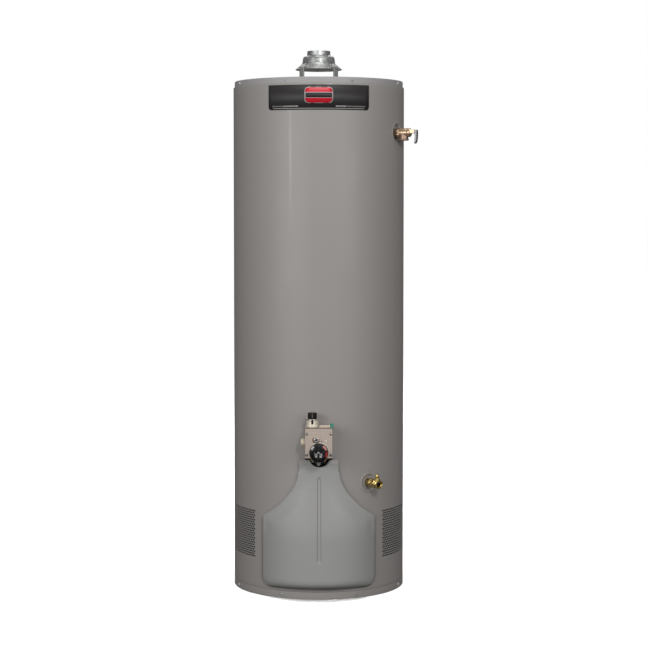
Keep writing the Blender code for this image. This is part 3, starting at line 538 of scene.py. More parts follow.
def jacket_rows():
    """Each row's height and how far it is rolled in."""
    foot = [(PAN_TOP - 0.009, 0.002), (PAN_TOP, 0.002), (PAN_TOP + 0.0002, 0.0011),
            (PAN_TOP + 0.0006, 0.0003), (PAN_TOP + 0.0014, 0.0)]
    heights = [*spread(PAN_TOP + 0.0014, VENT_LOW, 9), *spread(VENT_LOW, VENT_HIGH, VENT_ROWS),
               *spread(VENT_HIGH, 0.508, 30), *spread(0.508, TP_HEIGHT - 0.043, 8),
               *spread(TP_HEIGHT - 0.043, TP_HEIGHT + 0.043, 10),
               *spread(TP_HEIGHT + 0.043, LID_LOW - 0.0024, 4)]
    top = LID_LOW - 0.0003
    inside = RADIUS - LID_RADIUS + 0.0016
    shoulder = [(top - 0.001, 0.0002), (top - 0.0003, 0.0008), (top, 0.0018), (top, inside),
                (top + 0.012, inside)]
    return [*foot, *((z, 0.0) for z in heights), *shoulder]


def window_outline():
    """The burner window: wide at the bottom, narrowing to a neck under the gas control."""
    right = [(WINDOW_HALF, WINDOW_LOW), (WINDOW_HALF, WINDOW_SHOULDER), (NECK_HALF, WINDOW_NECK),
             (NECK_HALF, WINDOW_TOP)]
    return [Vector((x, z, 0)) for x, z in right] + [Vector((-x, z, 0)) for x, z in reversed(right)]


def in_window(arc_length, height):
    if not WINDOW_LOW < height < WINDOW_TOP:
        return False
    narrowing = min(max((height - WINDOW_SHOULDER) / (WINDOW_NECK - WINDOW_SHOULDER), 0), 1)
    return abs(arc_length) < WINDOW_HALF - (WINDOW_HALF - NECK_HALF) * narrowing


def slot_block(bm, corner):
    """One cell pair with a round-ended slot: two halves that meet above and below the slot."""
    low_left, low_mid, low_right, high_left, high_mid, high_right = corner
    middle = (low_mid.co + high_mid.co) / 2
    straight = SLOT_HALF_LENGTH - SLOT_HALF_HEIGHT
    ends = {}
    caps = [bm.verts.new(middle + Vector((0, side_up * SLOT_HALF_HEIGHT, 0))) for side_up in (-1, 1)]
    for end in (-1, 1):
        turns = [math.radians(-90 + 45 * i) for i in range(5)]
        ends[end] = [bm.verts.new(middle + Vector((end * (straight + SLOT_HALF_HEIGHT * math.cos(t)),
                                                   SLOT_HALF_HEIGHT * math.sin(t), 0))) for t in turns]
    bm.faces.new([low_mid, low_right, high_right, high_mid, caps[1], *reversed(ends[1]), caps[0]])
    bm.faces.new([high_mid, high_left, low_left, low_mid, caps[0], *ends[-1], caps[1]])


def build_jacket():
    rows = jacket_rows()
    holes = [(math.radians(TP_ANGLE) * RADIUS, TP_HEIGHT, TP_HOLE),
             (math.radians(DRAIN_ANGLE) * RADIUS, DRAIN_HEIGHT, DRAIN_HOLE),
             (0.0, SHANK_HEIGHT, SHANK_HOLE)]
    window = edges_of(window_outline())
    half = COLUMNS // 2
    bm = bmesh.new()
    inset = bm.verts.layers.float.new("inset")
    grid = []
    for height, roll in rows:
        line = []
        for column in range(COLUMNS + 1):
            vert = bm.verts.new(((column - half) * CELL, height, 0))
            vert[inset] = roll
            line.append(vert)
        grid.append(line)
    first_vent = min(range(len(rows)), key=lambda j: abs(rows[j][0] - VENT_LOW))
    for j in range(len(rows) - 1):
        vent_row = j - first_vent
        middle = (rows[j][0] + rows[j + 1][0]) / 2
        starts = set()
        if 0 <= vent_row < VENT_ROWS:
            for first in (half + VENT_COLUMN, half - VENT_COLUMN - 2 * VENT_SLOTS):
                shift = vent_row % 2
                starts |= {first + shift + 2 * i for i in range(VENT_SLOTS - shift)}
        for i in range(COLUMNS):
            across = (i + 0.5 - half) * CELL
            if i in starts:
                slot_block(bm, [grid[k][i + n] for k in (j, j + 1) for n in (0, 1, 2)])
            elif not (i - 1 in starts or in_window(across, middle)
                      or any(math.hypot(across - x, middle - z) < radius for x, z, radius in holes)):
                bm.faces.new((grid[j][i], grid[j][i + 1], grid[j + 1][i + 1], grid[j + 1][i]))
    bmesh.ops.delete(bm, geom=[v for v in bm.verts if not v.link_faces], context="VERTS")
    for vert in bm.verts:
        if not vert.is_boundary or in_vent_field(vert.co):
            continue
        for x, z, radius in holes:
            away = vert.co - Vector((x, z, 0))
            if away.length < radius + 0.01:
                vert.co = Vector((x, z, 0)) + away.normalized() * radius
        if abs(vert.co.x) < WINDOW_HALF + 0.012 and WINDOW_LOW - 0.01 < vert.co.y < WINDOW_TOP + 0.01:
            vert.co = nearest_on(window, vert.co)
    for vert in bm.verts:
        vert.co = wrapped(vert.co.x, vert.co.y, RADIUS - vert[inset])
    bmesh.ops.remove_doubles(bm, verts=[v for v in bm.verts if v.co.y > RADIUS * 0.99], dist=1e-6)
    jacket = piece("jacket_shell", bm, "jacket_paint", nodes=["jacket"])
    thickened(jacket, 0.0007, -1)
    build_seam()


def in_vent_field(place):
    return (VENT_LOW < place.y < VENT_HIGH
            and VENT_COLUMN * CELL < abs(place.x) < (VENT_COLUMN + 2 * VENT_SLOTS) * CELL)


def build_seam():
    """The lap down the back, with its row of screws."""
    reach = RADIUS + 0.0003
    low, high, rim = PAN_TOP + 0.002, LID_LOW - 0.004, 0.0006
    across = ((-0.013, 0.0006), (-0.0122, 0.0), (0.0, 0.0), (0.0122, 0.0), (0.013, 0.0006))
    heights = (low, low + rim, *spread(low + rim, high - rim, 12), high)
    rows = [[wrapped(math.pi * RADIUS + s, height, reach - dip) for s, dip in across] for height in heights]
    thickened(piece("jacket_lap", sheet(rows), "jacket_paint"), 0.0005, -1)
    screws = []
    for height in spread(-0.14, 1.5, 8):
        screws += hex_screw(radial(180, height, reach))
    gathered("lap_screws", screws, "bright_steel")


def dish(name, angle, height, node, hole, rim, floor, shank, depth):
    """A round depression pressed into the jacket, whose rim follows the jacket's curve."""
    profile = [(rim, 0.00005), (rim - 0.0009, 0.0007), (rim - 0.002, 0.001), (hole + 0.0022, 0.001),
               (hole + 0.0004, 0.0004), (hole - 0.0012, -0.0014), (floor + 0.0016, -depth + 0.0016),
               (floor - 0.001, -depth + 0.0002), (floor - 0.003, -depth),
               (shank + 0.0012, -depth), (shank, -depth - 0.0012)]
    profile = soften(profile, 0.0006, False, 2)
    centre = math.radians(angle) * RADIUS
    rings = [[wrapped(centre + x, height + y, RADIUS + lift) for x, y in circle(r, 72)]
             for r, lift in profile]
    thickened(piece(name, sheet(rings, True), "jacket_paint", nodes=[node]), 0.0004, -1)


def pan_screws(name, look, angles, height, radius):
    """Screws round a pan, at two angles on the right and the same two on the left."""
    screws = []
    for angle in (-angles[1], -angles[0], *angles):
        screws += hex_screw(radial(angle, height, radius - 0.0002), height=PAN_SCREW_HEAD)
    gathered(name, screws, look)


def build_pans():
    inner = RADIUS - SHEET
    base = [(0, 0.0015), (inner, 0.0015), (inner, PAN_TOP), (RADIUS, PAN_TOP), (RADIUS, 0.0), (0, 0.0)]
    lathe("base_pan", base, "jacket_paint", 192, closed=False, radius=0.0012, nodes=["bottom_pan"])
    # The same screws get a bright zinc finish at the sides and a darker finish at the front: painted glint on
    # the side pair, painted shade on the front pair.
    pan_screws("base_screws_side_painted_glint", "zinc", (68.5, 111.5), PAN_TOP * 0.52, RADIUS)
    pan_screws("base_screws", "tube_aluminium", (25.0, 155.0), PAN_TOP * 0.52, RADIUS)
    inner = LID_RADIUS - SHEET
    lid = [(FLUE_HOLE, LID_TOP), (LID_RADIUS, LID_TOP), (LID_RADIUS, LID_LOW), (inner, LID_LOW),
           (inner, LID_TOP - SHEET), (FLUE_HOLE, LID_TOP - SHEET)]
    cap = lathe("lid_pan", lid, "lid_paint", 192, radius=0.0022, nodes=["top_pan"])
    holes = [(centre_of("cold_nipple"), 0.0155), (centre_of("hot_nipple"), 0.0155),
             (centre_of("anode_rod"), 0.02)]
    carve(cap, *(rod(at(c.x, c.y), radius, LID_TOP - 0.01, LID_TOP + 0.01) for c, radius in holes))
    # As on the base: painted glint on the side screws in bright zinc, painted shade on the front screws in
    # dark steel.
    pan_screws("lid_screws_side_painted_glint", "zinc", (67.5, 112.5), LID_TOP - 0.01, LID_RADIUS)
    pan_screws("lid_screws", "lever_steel", (22.5, 157.5), LID_TOP - 0.01, LID_RADIUS)


# Outer cover

def cover_outline():
    """The cover's right half, then its mirror image: neck, flared shoulder and round corner."""
    notch_x, notch_z, notch_radius = 0.002, COVER_TOP + 0.0086, 0.03
    rim = COVER_TOP - notch_z
    start = math.degrees(math.atan2(rim, math.sqrt(notch_radius ** 2 - rim ** 2)))
    notch = [(notch_x + x, notch_z + z) for x, z in arc(notch_radius, start, -180 - start, 28)]
    neck = [(0.0545, COVER_TOP), (0.0565, COVER_TOP - 0.0012), (0.0577, COVER_TOP - 0.0045)]
    flare = [(0.06, 0.386), (0.062, 0.34), (0.105, 0.285), (0.1645, 0.2535)]
    side = []
    for i in range(25):
        t = i / 24
        weights = ((1 - t) ** 3, 3 * t * (1 - t) ** 2, 3 * t * t * (1 - t), t ** 3)
        side.append(tuple(sum(w * p[k] for w, p in zip(weights, flare)) for k in (0, 1)))
    side += soften([(0.1645, 0.2535), (COVER_HALF_ARC - 0.001, 0.2455), (COVER_HALF_ARC, 0.227)],
                   0.013, False, 6)[1:]
    side += [(COVER_HALF_ARC - COVER_CORNER + x, COVER_LOW + COVER_CORNER + z)
             for x, z in arc(COVER_CORNER, 0, -90, 12)]
    right = neck + side
    left = [(-x, z) for x, z in reversed(right)]
    return [Vector((x, z, 0)) for x, z in right + left + notch[::-1]]


def bow(distance, reach):
    """Rises from 0 at an edge to 1 at this reach, where it levels out."""
    return 1 - (1 - min(max(distance / reach, 0), 1)) ** 2


def eased(share):
    held = min(max(share, 0), 1)
    return held * held * (3 - 2 * held)


def foot_height(x):
    """Where the cover's lower edge, with its round corners, is on one upright line."""
    into_corner = max(abs(x) - COVER_HALF_ARC + COVER_CORNER, 0)
    return COVER_LOW + COVER_CORNER - math.sqrt(max(COVER_CORNER ** 2 - into_corner ** 2, 0))


def crown(place, flared):
    """The cover bows outwards between its sides; the bow dies out at the foot and up the neck."""
    beside_neck = min((nearest_on(flared, place) - place).length, SHOULDER_REACH)
    across = bow(COVER_HALF_ARC - abs(place.x), CROWN_REACH)
    upwards = bow(place.y - foot_height(place.x), FOOT_REACH)
    fade = eased((CROWN_START - place.y) / (CROWN_START - CROWN_FULL))
    return CROWN * across * upwards * fade * eased(beside_neck / SHOULDER_REACH)


def groove(place):
    """How deep the pressed line down the middle of the cover is here."""
    beyond = max(GROOVE_LOW + GROOVE_HALF - place.y, place.y - GROOVE_HIGH + GROOVE_HALF, 0)
    away = math.hypot(place.x - GROOVE_X, beyond) / GROOVE_HALF
    return GROOVE_DEPTH * min(max((1.15 - away) / 0.45, 0), 1)


def build_cover():
    outline = cover_outline()
    bm = bmesh.new()
    bm.faces.new([bm.verts.new(point) for point in outline])
    bmesh.ops.recalc_face_normals(bm, faces=bm.faces)
    lift = bm.verts.layers.float.new("lift")
    for inset, rise in COVER_ROLL:
        middle = max(bm.faces, key=lambda face: len(face.verts))
        height = middle.verts[0][lift]
        bmesh.ops.inset_region(bm, faces=[middle], thickness=inset, use_even_offset=True)
        for vert in middle.verts:
            vert[lift] = height + rise
    height = middle.verts[0][lift]
    groove_lines = [GROOVE_X + GROOVE_HALF * k for k in (-1.15, -0.92, -0.7, 0, 0.7, 0.92, 1.15)]
    plain_lines = [x for x in (COVER_GRID * i for i in range(-24, 25))
                   if abs(x - GROOVE_X) > GROOVE_HALF * 1.3]
    levels = [0.008 * i for i in range(5, 52)]
    for edge, inward in ((GROOVE_LOW, 1), (GROOVE_HIGH, -1)):
        levels += [edge + inward * GROOVE_HALF * k for k in (-0.15, 0.1, 0.3, 0.6, 1)]
    for across, values in (((1, 0, 0), groove_lines + plain_lines), ((0, 1, 0), levels)):
        for value in values:
            before = set(bm.verts)
            sliced(bm, across, value)
            for vert in set(bm.verts) - before:
                near = [e.other_vert(vert) for e in vert.link_edges]
                known = [v[lift] for v in near if v in before]
                vert[lift] = sum(known) / len(known) if known else height
    flared = [(a, b) for a, b in edges_of(outline) if a.y > CROWN_FULL and abs(b.x - a.x) > 0.0001]
    for vert in bm.verts:
        flat = vert.co.copy()
        reach = RADIUS + 0.0018 + vert[lift] + crown(flat, flared) - groove(flat)
        vert.co = wrapped(flat.x, flat.y, reach)
    cover = piece("cover_shell", bm, "cover_paint", body="outer_cover", nodes=["outer_cover"])
    thickened(cover, SHEET, -1)


# Draft hood

def build_hood():
    """A stepped collar over an open cone, spun from one thin sheet."""
    wall = 0.0008
    outside = [(LIP_RADIUS - 0.0012, HOOD_LOW), (LIP_RADIUS, HOOD_LOW + 0.001),
               (LIP_RADIUS - 0.0016, HOOD_LOW + 0.0022), (0.053, 1.613), (0.051, 1.6158),
               (0.0488, 1.63), (0.0474, 1.6345), (0.044, 1.6372), (0.0385, 1.6385), (0.0362, 1.6398),
               (0.0353, HOOD_TOP - 0.0004)]
    outside = soften(outside, 0.0016, False, 4)
    inside = [(r - wall, z - wall * 0.6) for r, z in (tuple(p)[:2] for p in reversed(outside))]
    inside[0] = (inside[0][0], HOOD_TOP - 0.0004)
    lathe("hood_shell", [*outside, *inside], "galvanised", 128, nodes=["draft_hood"])
    rivets = [(dome(), radial(angle, 1.6175, 0.0503)) for angle in (-16, 74, 164, 254)]
    gathered("hood_rivets", rivets, "galvanised")
    for index in range(4):
        build_leg(index)


def dome(radius=0.002, height=0.001):
    """A rivet's round head."""
    profile = [(0, height), (radius * 0.5, height * 0.88), (radius * 0.85, height * 0.5), (radius, 0),
               (radius, -0.001), (0, -0.001)]
    return turned(profile, 20, False)


def build_leg(index):
    """A ribbed strap: a foot on the lid, an upright and a tab folded over the cone."""
    face = LIP_RADIUS + 0.0014
    lean = (LIP_RADIUS - 0.0508) / (1.615 - HOOD_LOW)
    tab = 0.0115
    path = soften([(face + 0.011, LID_TOP + 0.0009), (face, LID_TOP + 0.0009), (face, HOOD_LOW + 0.003),
                   (face - tab * lean, HOOD_LOW + 0.0036 + tab)], 0.0022, False, 5)
    section = ((-0.0095, 0), (-0.0052, 0), (-0.0032, 0.55), (-0.0012, 1), (0.0012, 1), (0.0032, 0.55),
               (0.0052, 0), (0.0095, 0))
    rows = []
    for r, z in (tuple(p)[:2] for p in path):
        ribbing = min(max((z - LID_TOP - 0.004) / 0.004, 0), 1) * min(max((HOOD_LOW - z) / 0.004, 0), 1)
        rows.append([(r + ridge * 0.0007 * ribbing, w, z) for w, ridge in section])
    turn = Matrix.Rotation(math.radians(45 + 90 * index), 4, "Z")
    name = "hood_leg_%d" % (index + 1)
    strap = piece(name + "_strap", sheet(rows), "strap_steel", nodes=[name], place=turn)
    thickened(strap, 0.0009, 0)
    tilt = turn @ at(face - tab * lean * 0.55 + 0.0004, 0, HOOD_LOW + 0.0033 + tab * 0.55)
    lean_out = Matrix.Rotation(math.atan2(1.0, lean), 4, "Y")
    fixings = [(dome(), tilt @ lean_out)]
    fixings += hex_screw(turn @ at(face + 0.0065, 0, LID_TOP + 0.0013), 0.0036, 0.0055, 0.0026)
    gathered(name + "_fixings", fixings, "strap_steel")


# Badge

def badge_plate(name, outline, look, lift, thickness, nodes=()):
    """A flat outline of (arc, height) points, cut into strips and laid on the jacket."""
    bm = bmesh.new()
    bm.faces.new([bm.verts.new((x, z, 0)) for x, z in ((p[0], p[1]) for p in outline)])
    width = max(abs(p[0]) for p in outline)
    for step in range(-40, 41):
        if abs(step * 0.004) < width:
            sliced(bm, (1, 0, 0), step * 0.004)
    for vert in bm.verts:
        vert.co = wrapped(vert.co.x, vert.co.y, RADIUS + lift)
    return thickened(piece(name, bm, look, nodes=nodes), thickness, 1)


def badge_dashes(name, look, first, last, height):
    """A row of short slanted strokes in place of lettering."""
    width, rise, lean, pitch = 0.0011, 0.0019, 0.0008, 0.0036
    bm = bmesh.new()
    for index in range(round((last - first) / pitch)):
        x = first + (index + 0.5) * pitch
        corners = ((x - width - lean, height - rise), (x + width - lean, height - rise),
                   (x + width + lean, height + rise), (x - width + lean, height + rise))
        bm.faces.new([bm.verts.new(wrapped(a, z, RADIUS + 0.0008)) for a, z in corners])
    thickened(piece(name, bm, look), 0.0002, 1)


def build_badge():
    """A dark name plate, whose mark and lines of print are plain shapes without letters."""
    low, high, half = BADGE_LOW, BADGE_TOP, BADGE_HALF_ARC
    corner = 0.01
    lower = [(half - corner + x, low + corner + z) for x, z in arc(corner, 0, -90, 6)]
    outline = [(half, high), *lower, *((-x, z) for x, z in reversed(lower)), (-half, high)]
    badge_plate("badge_plate", outline, "badge", 0.0001, 0.0007, nodes=["name_badge"])
    middle = (low + high) / 2 + 0.0062
    marks = (("edge", "light_print", 0.0425, 0.0242, 0.015, 0.0008),
             ("red", "red_print", 0.0407, 0.0224, 0.014, 0.001),
             ("band_edge", "light_print", 0.0407, 0.0086, 0.003, 0.0012),
             ("band", "badge", 0.0392, 0.0072, 0.003, 0.0014))
    for name, look, half_x, half_z, corner, lift in marks:
        outline = soften([(x, middle + z) for x, z in rectangle(half_x, half_z)], corner, pieces=8)
        badge_plate("badge_mark_" + name, outline, look, lift, 0.0002)
    for name, look, first, last in (("left_faint", "grey_print", -0.145, -0.108),
                                    ("left", "light_print", -0.108, -0.062),
                                    ("right", "light_print", 0.05, 0.084),
                                    ("right_faint", "grey_print", 0.084, 0.146)):
        badge_dashes("badge_dashes_" + name, look, first, last, low + 0.0105)
    line = rectangle(half - 0.016, 0.0006, 0, low + 0.0042)
    badge_plate("badge_line", line, "light_print", 0.0008, 0.0002)


# Valves

def threads(radius, depth, first, last, pitch):
    """Points of a row of thread ridges, from one height to another."""
    count = max(int(abs(last - first) / pitch), 1)
    step = (last - first) / count
    points = []
    for i in range(count):
        low = first + i * step
        points += [(radius - depth, low), (radius, low + step * 0.35), (radius, low + step * 0.65)]
    return [*points, (radius - depth, last)]


def on_edge(side):
    """Stand an outline drawn in (up, out) on edge, on one side of a valve."""
    return Matrix(((1, 0, 0), (0, 0, side), (0, 1, 0))).to_4x4()


def build_relief_valve():
    place = radial(TP_ANGLE, TP_HEIGHT)
    barrel = [(0, 0.236), (0.0121, 0.236), (0.0121, 0.2632), (0.0137, 0.2642), (0.0137, 0.2965),
              (0.0128, 0.2975), (0.0128, 0.2995), (0.0137, 0.3005), (0.0137, 0.3052), (0.0118, 0.3078),
              (0.0042, 0.3078), (0.0042, 0.297), (0, 0.297)]
    outlet = radial(TP_ANGLE, 0, RADIUS + 0.022).to_translation()
    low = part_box("tp_valve_body")[0].z
    high = TP_HEIGHT - 0.005
    spout = [(0.0144, low), (0.015, low + 0.0008), (0.015, low + 0.005), (0.0138, low + 0.0062),
             (0.0138, high), (0.0095, high), *threads(0.0112, 0.0009, high - 0.006, low + 0.001, 0.0018),
             (0.0118, low)]
    shapes = [(turned(soften(barrel, 0.0007, False, 3), 64, False), place),
              (extruded(circle(0.0154, 6), 0.2645, 0.274), place)]
    # The outlet hangs below the barrel in a darker brass than the body: painted shade.
    lathe("relief_outlet", spout, "outlet_brass_painted_shade", 48, place=at(outlet.x, outlet.y))
    for side in (-1, 1):
        ear = soften([(-0.002, 0.3035), (-0.002, 0.32), (0.0015, 0.3232), (0.0075, 0.3232),
                      (0.0095, 0.319), (0.0095, 0.3035)], 0.0018)
        shapes.append((extruded(ear, 0.0078, 0.0094), place @ on_edge(side)))
    body = gathered("relief_valve", shapes, "dull_brass", nodes=["tp_valve_body"])
    bevelled(body, 0.0005, 2)
    pin = radial(TP_ANGLE, TP_HEIGHT + 0.005, 0.318) @ on_edge(1)
    heads = [(dome(0.0021, 0.0009), pin @ at(0, 0, 0.0094)),
             (dome(0.0021, 0.0009), pin @ at(0, 0, -0.0094) @ Matrix.Rotation(math.pi, 4, "X"))]
    gathered("relief_pivot_heads", heads, "bright_steel")
    stem = [(0, 0.3112), (0.0026, 0.3112), (0.004, 0.3104), (0.004, 0.3086), (0.0031, 0.3082),
            (0.0031, 0.2972), (0, 0.2972)]
    lathe("relief_stem", stem, "bright_steel", 32, False, 0.0003, body="tp_stem", nodes=["tp_stem"],
          place=place)
    dish("relief_dish", TP_ANGLE, TP_HEIGHT, "tp_recess_cup", TP_HOLE, 0.0345, 0.022, 0.0124, 0.013)
    build_relief_lever(pin)


def build_relief_lever(pivot):
    """A steel channel with cheeks round the pin and a blade that hangs down to a round tip."""
    outline = soften([(0.0036, 0.006), (0.003, 0.0112), (-0.004, 0.0116), (-0.022, 0.0112),
                      (-0.034, 0.009), (-0.0392, 0.005), (-0.0372, 0.0028), (-0.026, 0.0046),
                      (-0.01, 0.0054), (-0.004, 0.003), (-0.003, -0.0028), (0.003, -0.0028)], 0.0028)
    hollow = soften([(0.002, -0.006), (0.0018, 0.0096), (-0.004, 0.0103), (-0.022, 0.0099),
                     (-0.0335, 0.0078), (-0.0366, 0.0052), (-0.0366, -0.006)], 0.0016)
    lever = prism("relief_lever", outline, "lever_steel", -0.0072, 0.0072, body="tp_lever",
                  nodes=["tp_lever"], place=pivot)
    carve(lever, prism("cutter", hollow, None, -0.0061, 0.0061, place=pivot))
    bevelled(lever, 0.0004, 2)
    prism("relief_lever_pin", circle(0.0013, 20), "bright_steel", -0.007, 0.007, body="tp_lever",
          place=pivot)


def build_drain_valve():
    place = radial(DRAIN_ANGLE, DRAIN_HEIGHT)
    body = [(0, 0.236), (0.01, 0.236), (0.01, 0.268), (0.0128, 0.2694), (0.0128, 0.28),
            (0.0112, 0.2815), (0.0106, 0.286), (0.0112, 0.293), (0.0124, 0.296),
            *threads(0.0135, 0.001, 0.2972, 0.3152, 0.0022), (0.0126, 0.3165), (0.0102, 0.3165),
            (0.0098, 0.314), (0.008, 0.3126), (0.0078, 0.301), (0, 0.301)]
    centre = radial(DRAIN_ANGLE, 0, 0.3045).to_translation()
    above = at(centre.x, centre.y, DRAIN_HEIGHT)
    boss = soften([(0.004, 0.0055), (0.0082, 0.0055), (0.0078, 0.012), (0.0078, 0.0174),
                   (0.004, 0.0174)], 0.0008)
    shapes = [(turned(body, 64, False), place),
              (extruded(circle(0.0146, 6), 0.272, 0.2792), place),
              (turned(boss, 40), above),
              (extruded(circle(0.0086, 6), 0.0128, 0.0168), above)]
    bevelled(gathered("drain_valve", shapes, "brass", nodes=["drain_valve_body"]), 0.0005, 2)
    # A near-black disc at the bottom of the outlet's bore: painted shade inside the hole.
    lathe("drain_bore_painted_shade", [(0, 0.303), (0.0077, 0.303), (0.0077, 0.3), (0, 0.3)], "dark_gap", 40, False,
          place=place)
    knob = soften([(0, 0.03), (0.0034, 0.03), (0.0058, 0.0272), (0.0062, 0.023), (0.006, 0.0184),
                   (0.0033, 0.0184), (0.0033, 0.01), (0, 0.01)], 0.0012, False)
    stem = piece("drain_stem", turned(knob, 40, False), "brass", body="drain_valve_stem",
                 nodes=["drain_valve_stem"], place=above)
    carve(stem, prism("cutter", rectangle(0.0009, 0.01), None, 0.0276, 0.033, place=above))
    dish("drain_dish", DRAIN_ANGLE, DRAIN_HEIGHT, "drain_recess_cup", DRAIN_HOLE, 0.0305, 0.0215, 0.0108,
         0.004)


# Gas control

def ring_sector(inner, outer, first, last, low, high, steps):
    """A flat stretch of a ring, between two angles in degrees."""
    outside = arc(outer, first, last, steps)
    return extruded([*outside, *reversed(arc(inner, first, last, steps))], low, high)


def block(low, high):
    """A plain box between two corners."""
    bm = bmesh.new()
    middle, size = (Vector(low) + Vector(high)) / 2, Vector(high) - Vector(low)
    bmesh.ops.create_cube(bm, size=1, matrix=Matrix.Translation(middle) @ Matrix.Diagonal((*size, 1)))
    return bm


def build_gas_body():
    low, high = CONTROL_LOW, CONTROL_HIGH
    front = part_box("gas_valve_face_plate")[1].y
    back = -RADIUS - 0.0045
    shank = radial(0, SHANK_HEIGHT)
    shapes = [(block((low.x, front + 0.0003, low.z), (high.x, back, high.z)), at()),
              (block((low.x + 0.006, front + 0.01, low.z - 0.003),
                     (high.x - 0.006, back - 0.01, low.z + 0.01)), at())]
    body = gathered("control_body", shapes, "cast_aluminium", nodes=["gas_valve_body"])
    bevelled(body, 0.0038, 4)
    fittings = [(extruded(circle(0.0121, 40), 0.236, 0.272), shank),
                (extruded(circle(0.0168, 6), 0.2642, 0.2706), shank)]
    bevelled(gathered("control_shank", fittings, "brass"), 0.0006, 2)
    places = ((0.0, -0.296, 0.0098), (-0.018, -0.3, 0.0062), (0.018, -0.3, 0.0056))
    collars = [(extruded(circle(size, 6), low.z - 0.01, low.z - 0.0025), at(x, y)) for x, y, size in places]
    bevelled(gathered("control_tube_nuts", collars, "brass"), 0.0005, 2)
    strip = block((0.002, front + 0.016, high.z - 0.001), (0.033, front + 0.024, high.z + 0.0062))
    bevelled(piece("control_top_strip", strip, "cast_aluminium"), 0.001, 3)
    # A thin dark brown strip along the body's top front edge, above the plate: painted shade of the gap
    # there.
    top_gap_shade = block((-0.036, front + 0.0004, high.z - 0.002), (0.035, front + 0.003, high.z + 0.0005))
    piece("control_top_painted_shade", top_gap_shade, "painted_gap_shade_brown")
    cap = [(0, high.z + 0.011), (0.0036, high.z + 0.011), (0.0046, high.z + 0.0095),
           (0.0046, high.z + 0.0012), (0.0056, high.z + 0.0008), (0.0056, high.z - 0.001),
           (0, high.z - 0.001)]
    lathe("control_top_cap", cap, "green_plastic", 32, False, 0.0006, place=at(0.0386, front + 0.02))


def build_face_plate():
    low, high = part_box("gas_valve_face_plate")
    middle = (low + high) / 2
    half_x, half_z = (high.x - low.x) / 2, (high.z - low.z) / 2
    face = on_face(middle.x, middle.z)
    outline = soften(rectangle(half_x, half_z), 0.0045, pieces=6)
    plate = prism("control_face", outline, "cast_aluminium", -0.0062, -0.0002, place=face,
                  nodes=["gas_valve_face_plate"])
    screws = [centre_of("face_screw_%d" % i) for i in range(1, 5)]
    carve(plate, *(rod(on_face(c.x, c.z), 0.0046, -0.0022, 0.002) for c in screws))
    bevelled(plate, 0.0009, 3)
    # A near-black frame just larger than the face plate, behind it: painted shade of the gap round the plate.
    gasket = soften(rectangle(half_x + 0.0004, half_z + 0.0008), 0.0045, pieces=5)
    prism("control_plate_painted_shade", gasket, "dark_gap", -0.0077, -0.006, place=face)
    dial = on_face(DIAL.x, DIAL.z)
    # A raised bead over the top of the dial, in the paler casting colour and only where the light catches it:
    # partly a real bead, partly painted highlight. A small dome up to the right of the dial shares the piece.
    highlight_arc_and_dome = [(ring_sector(0.0282, 0.031, -14, 128, -0.0006, 0.0012, 40), dial),
             (dome(0.003, 0.0014), on_face(0.022, 0.486))]
    bevelled(gathered("control_face_highlight_arc_and_dome", highlight_arc_and_dome, "light_casting"), 0.0004, 2)
    tick = prism("control_face_index", rectangle(0.0009, 0.0022), "dark_gap", -0.0004, 0.0014,
                 place=on_face(0.0084, 0.4845))
    bevelled(tick, 0.0003, 2)
    boss = on_face(-0.007, 0.489)
    # A copper-brown crescent on the left of the pilot boss: painted shadow beside the boss.
    marks = [(ring_sector(0.0092, 0.0118, 140, 220, -0.0002, 0.0004, 14), boss)]
    gathered("pilot_boss_painted_shadow", marks, "copper")
    for index, centre in enumerate(screws):
        # The two screws above the dial get the lighter finish and the two below it the darker one: the same
        # screws, with painted shade on the lower pair.
        look = "tube_aluminium" if centre.z > DIAL.z else "lever_steel"
        place = on_face(centre.x, centre.z, PLATE_FRONT + 0.002)
        build_face_screw("face_screw_%d" % (index + 1), look, place)
    pilot = [(0, 0.0034), (0.0022, 0.0034), (0.0026, 0.0054), (0.0066, 0.0055), (0.0084, 0.0044),
             (0.0088, 0.0002), (0, 0.0002)]
    lathe("pilot_boss", pilot, "tube_aluminium", 40, False, 0.0006, nodes=["pilot_adjust_screw"], place=boss)
    # A near-black hexagon in the pilot boss's centre: painted shade of its socket.
    prism("pilot_socket_painted_shade", circle(0.002, 6), "dark_gap", 0.003, 0.0037, place=boss)


def build_face_screw(node, look, place):
    """A pan head with a six-sided socket, sunk in the plate."""
    head = [(0, 0.0018), (0.0026, 0.0017), (0.004, 0.0006), (0.0042, -0.0012), (0, -0.0012)]
    screw = lathe(node + "_head", head, look, 32, False, 0.0005, nodes=[node], place=place)
    carve(screw, prism("cutter", circle(0.0019, 6), None, 0.0004, 0.004, place=place))


def number(text, size, place):
    """Flat numbers, in Blender's own plain font."""
    curve = bpy.data.curves.new("number", "FONT")
    curve.body = text
    curve.size = size
    curve.align_x = "CENTER"
    curve.align_y = "CENTER"
    curve.extrude = 0.00008
    curve.offset = 0.00016
    curve.resolution_u = 3
    return from_curve(curve), place


def ribbed(reach, depth, ribs):
    """The outline of a knob with round ribs, six points to a rib."""
    outline = []
    for i in range(ribs * 6):
        turn = math.tau * i / (ribs * 6)
        out = reach + depth * (0.5 + 0.5 * math.cos(math.tau * i / 6))
        outline.append((out * math.cos(turn), out * math.sin(turn)))
    return outline


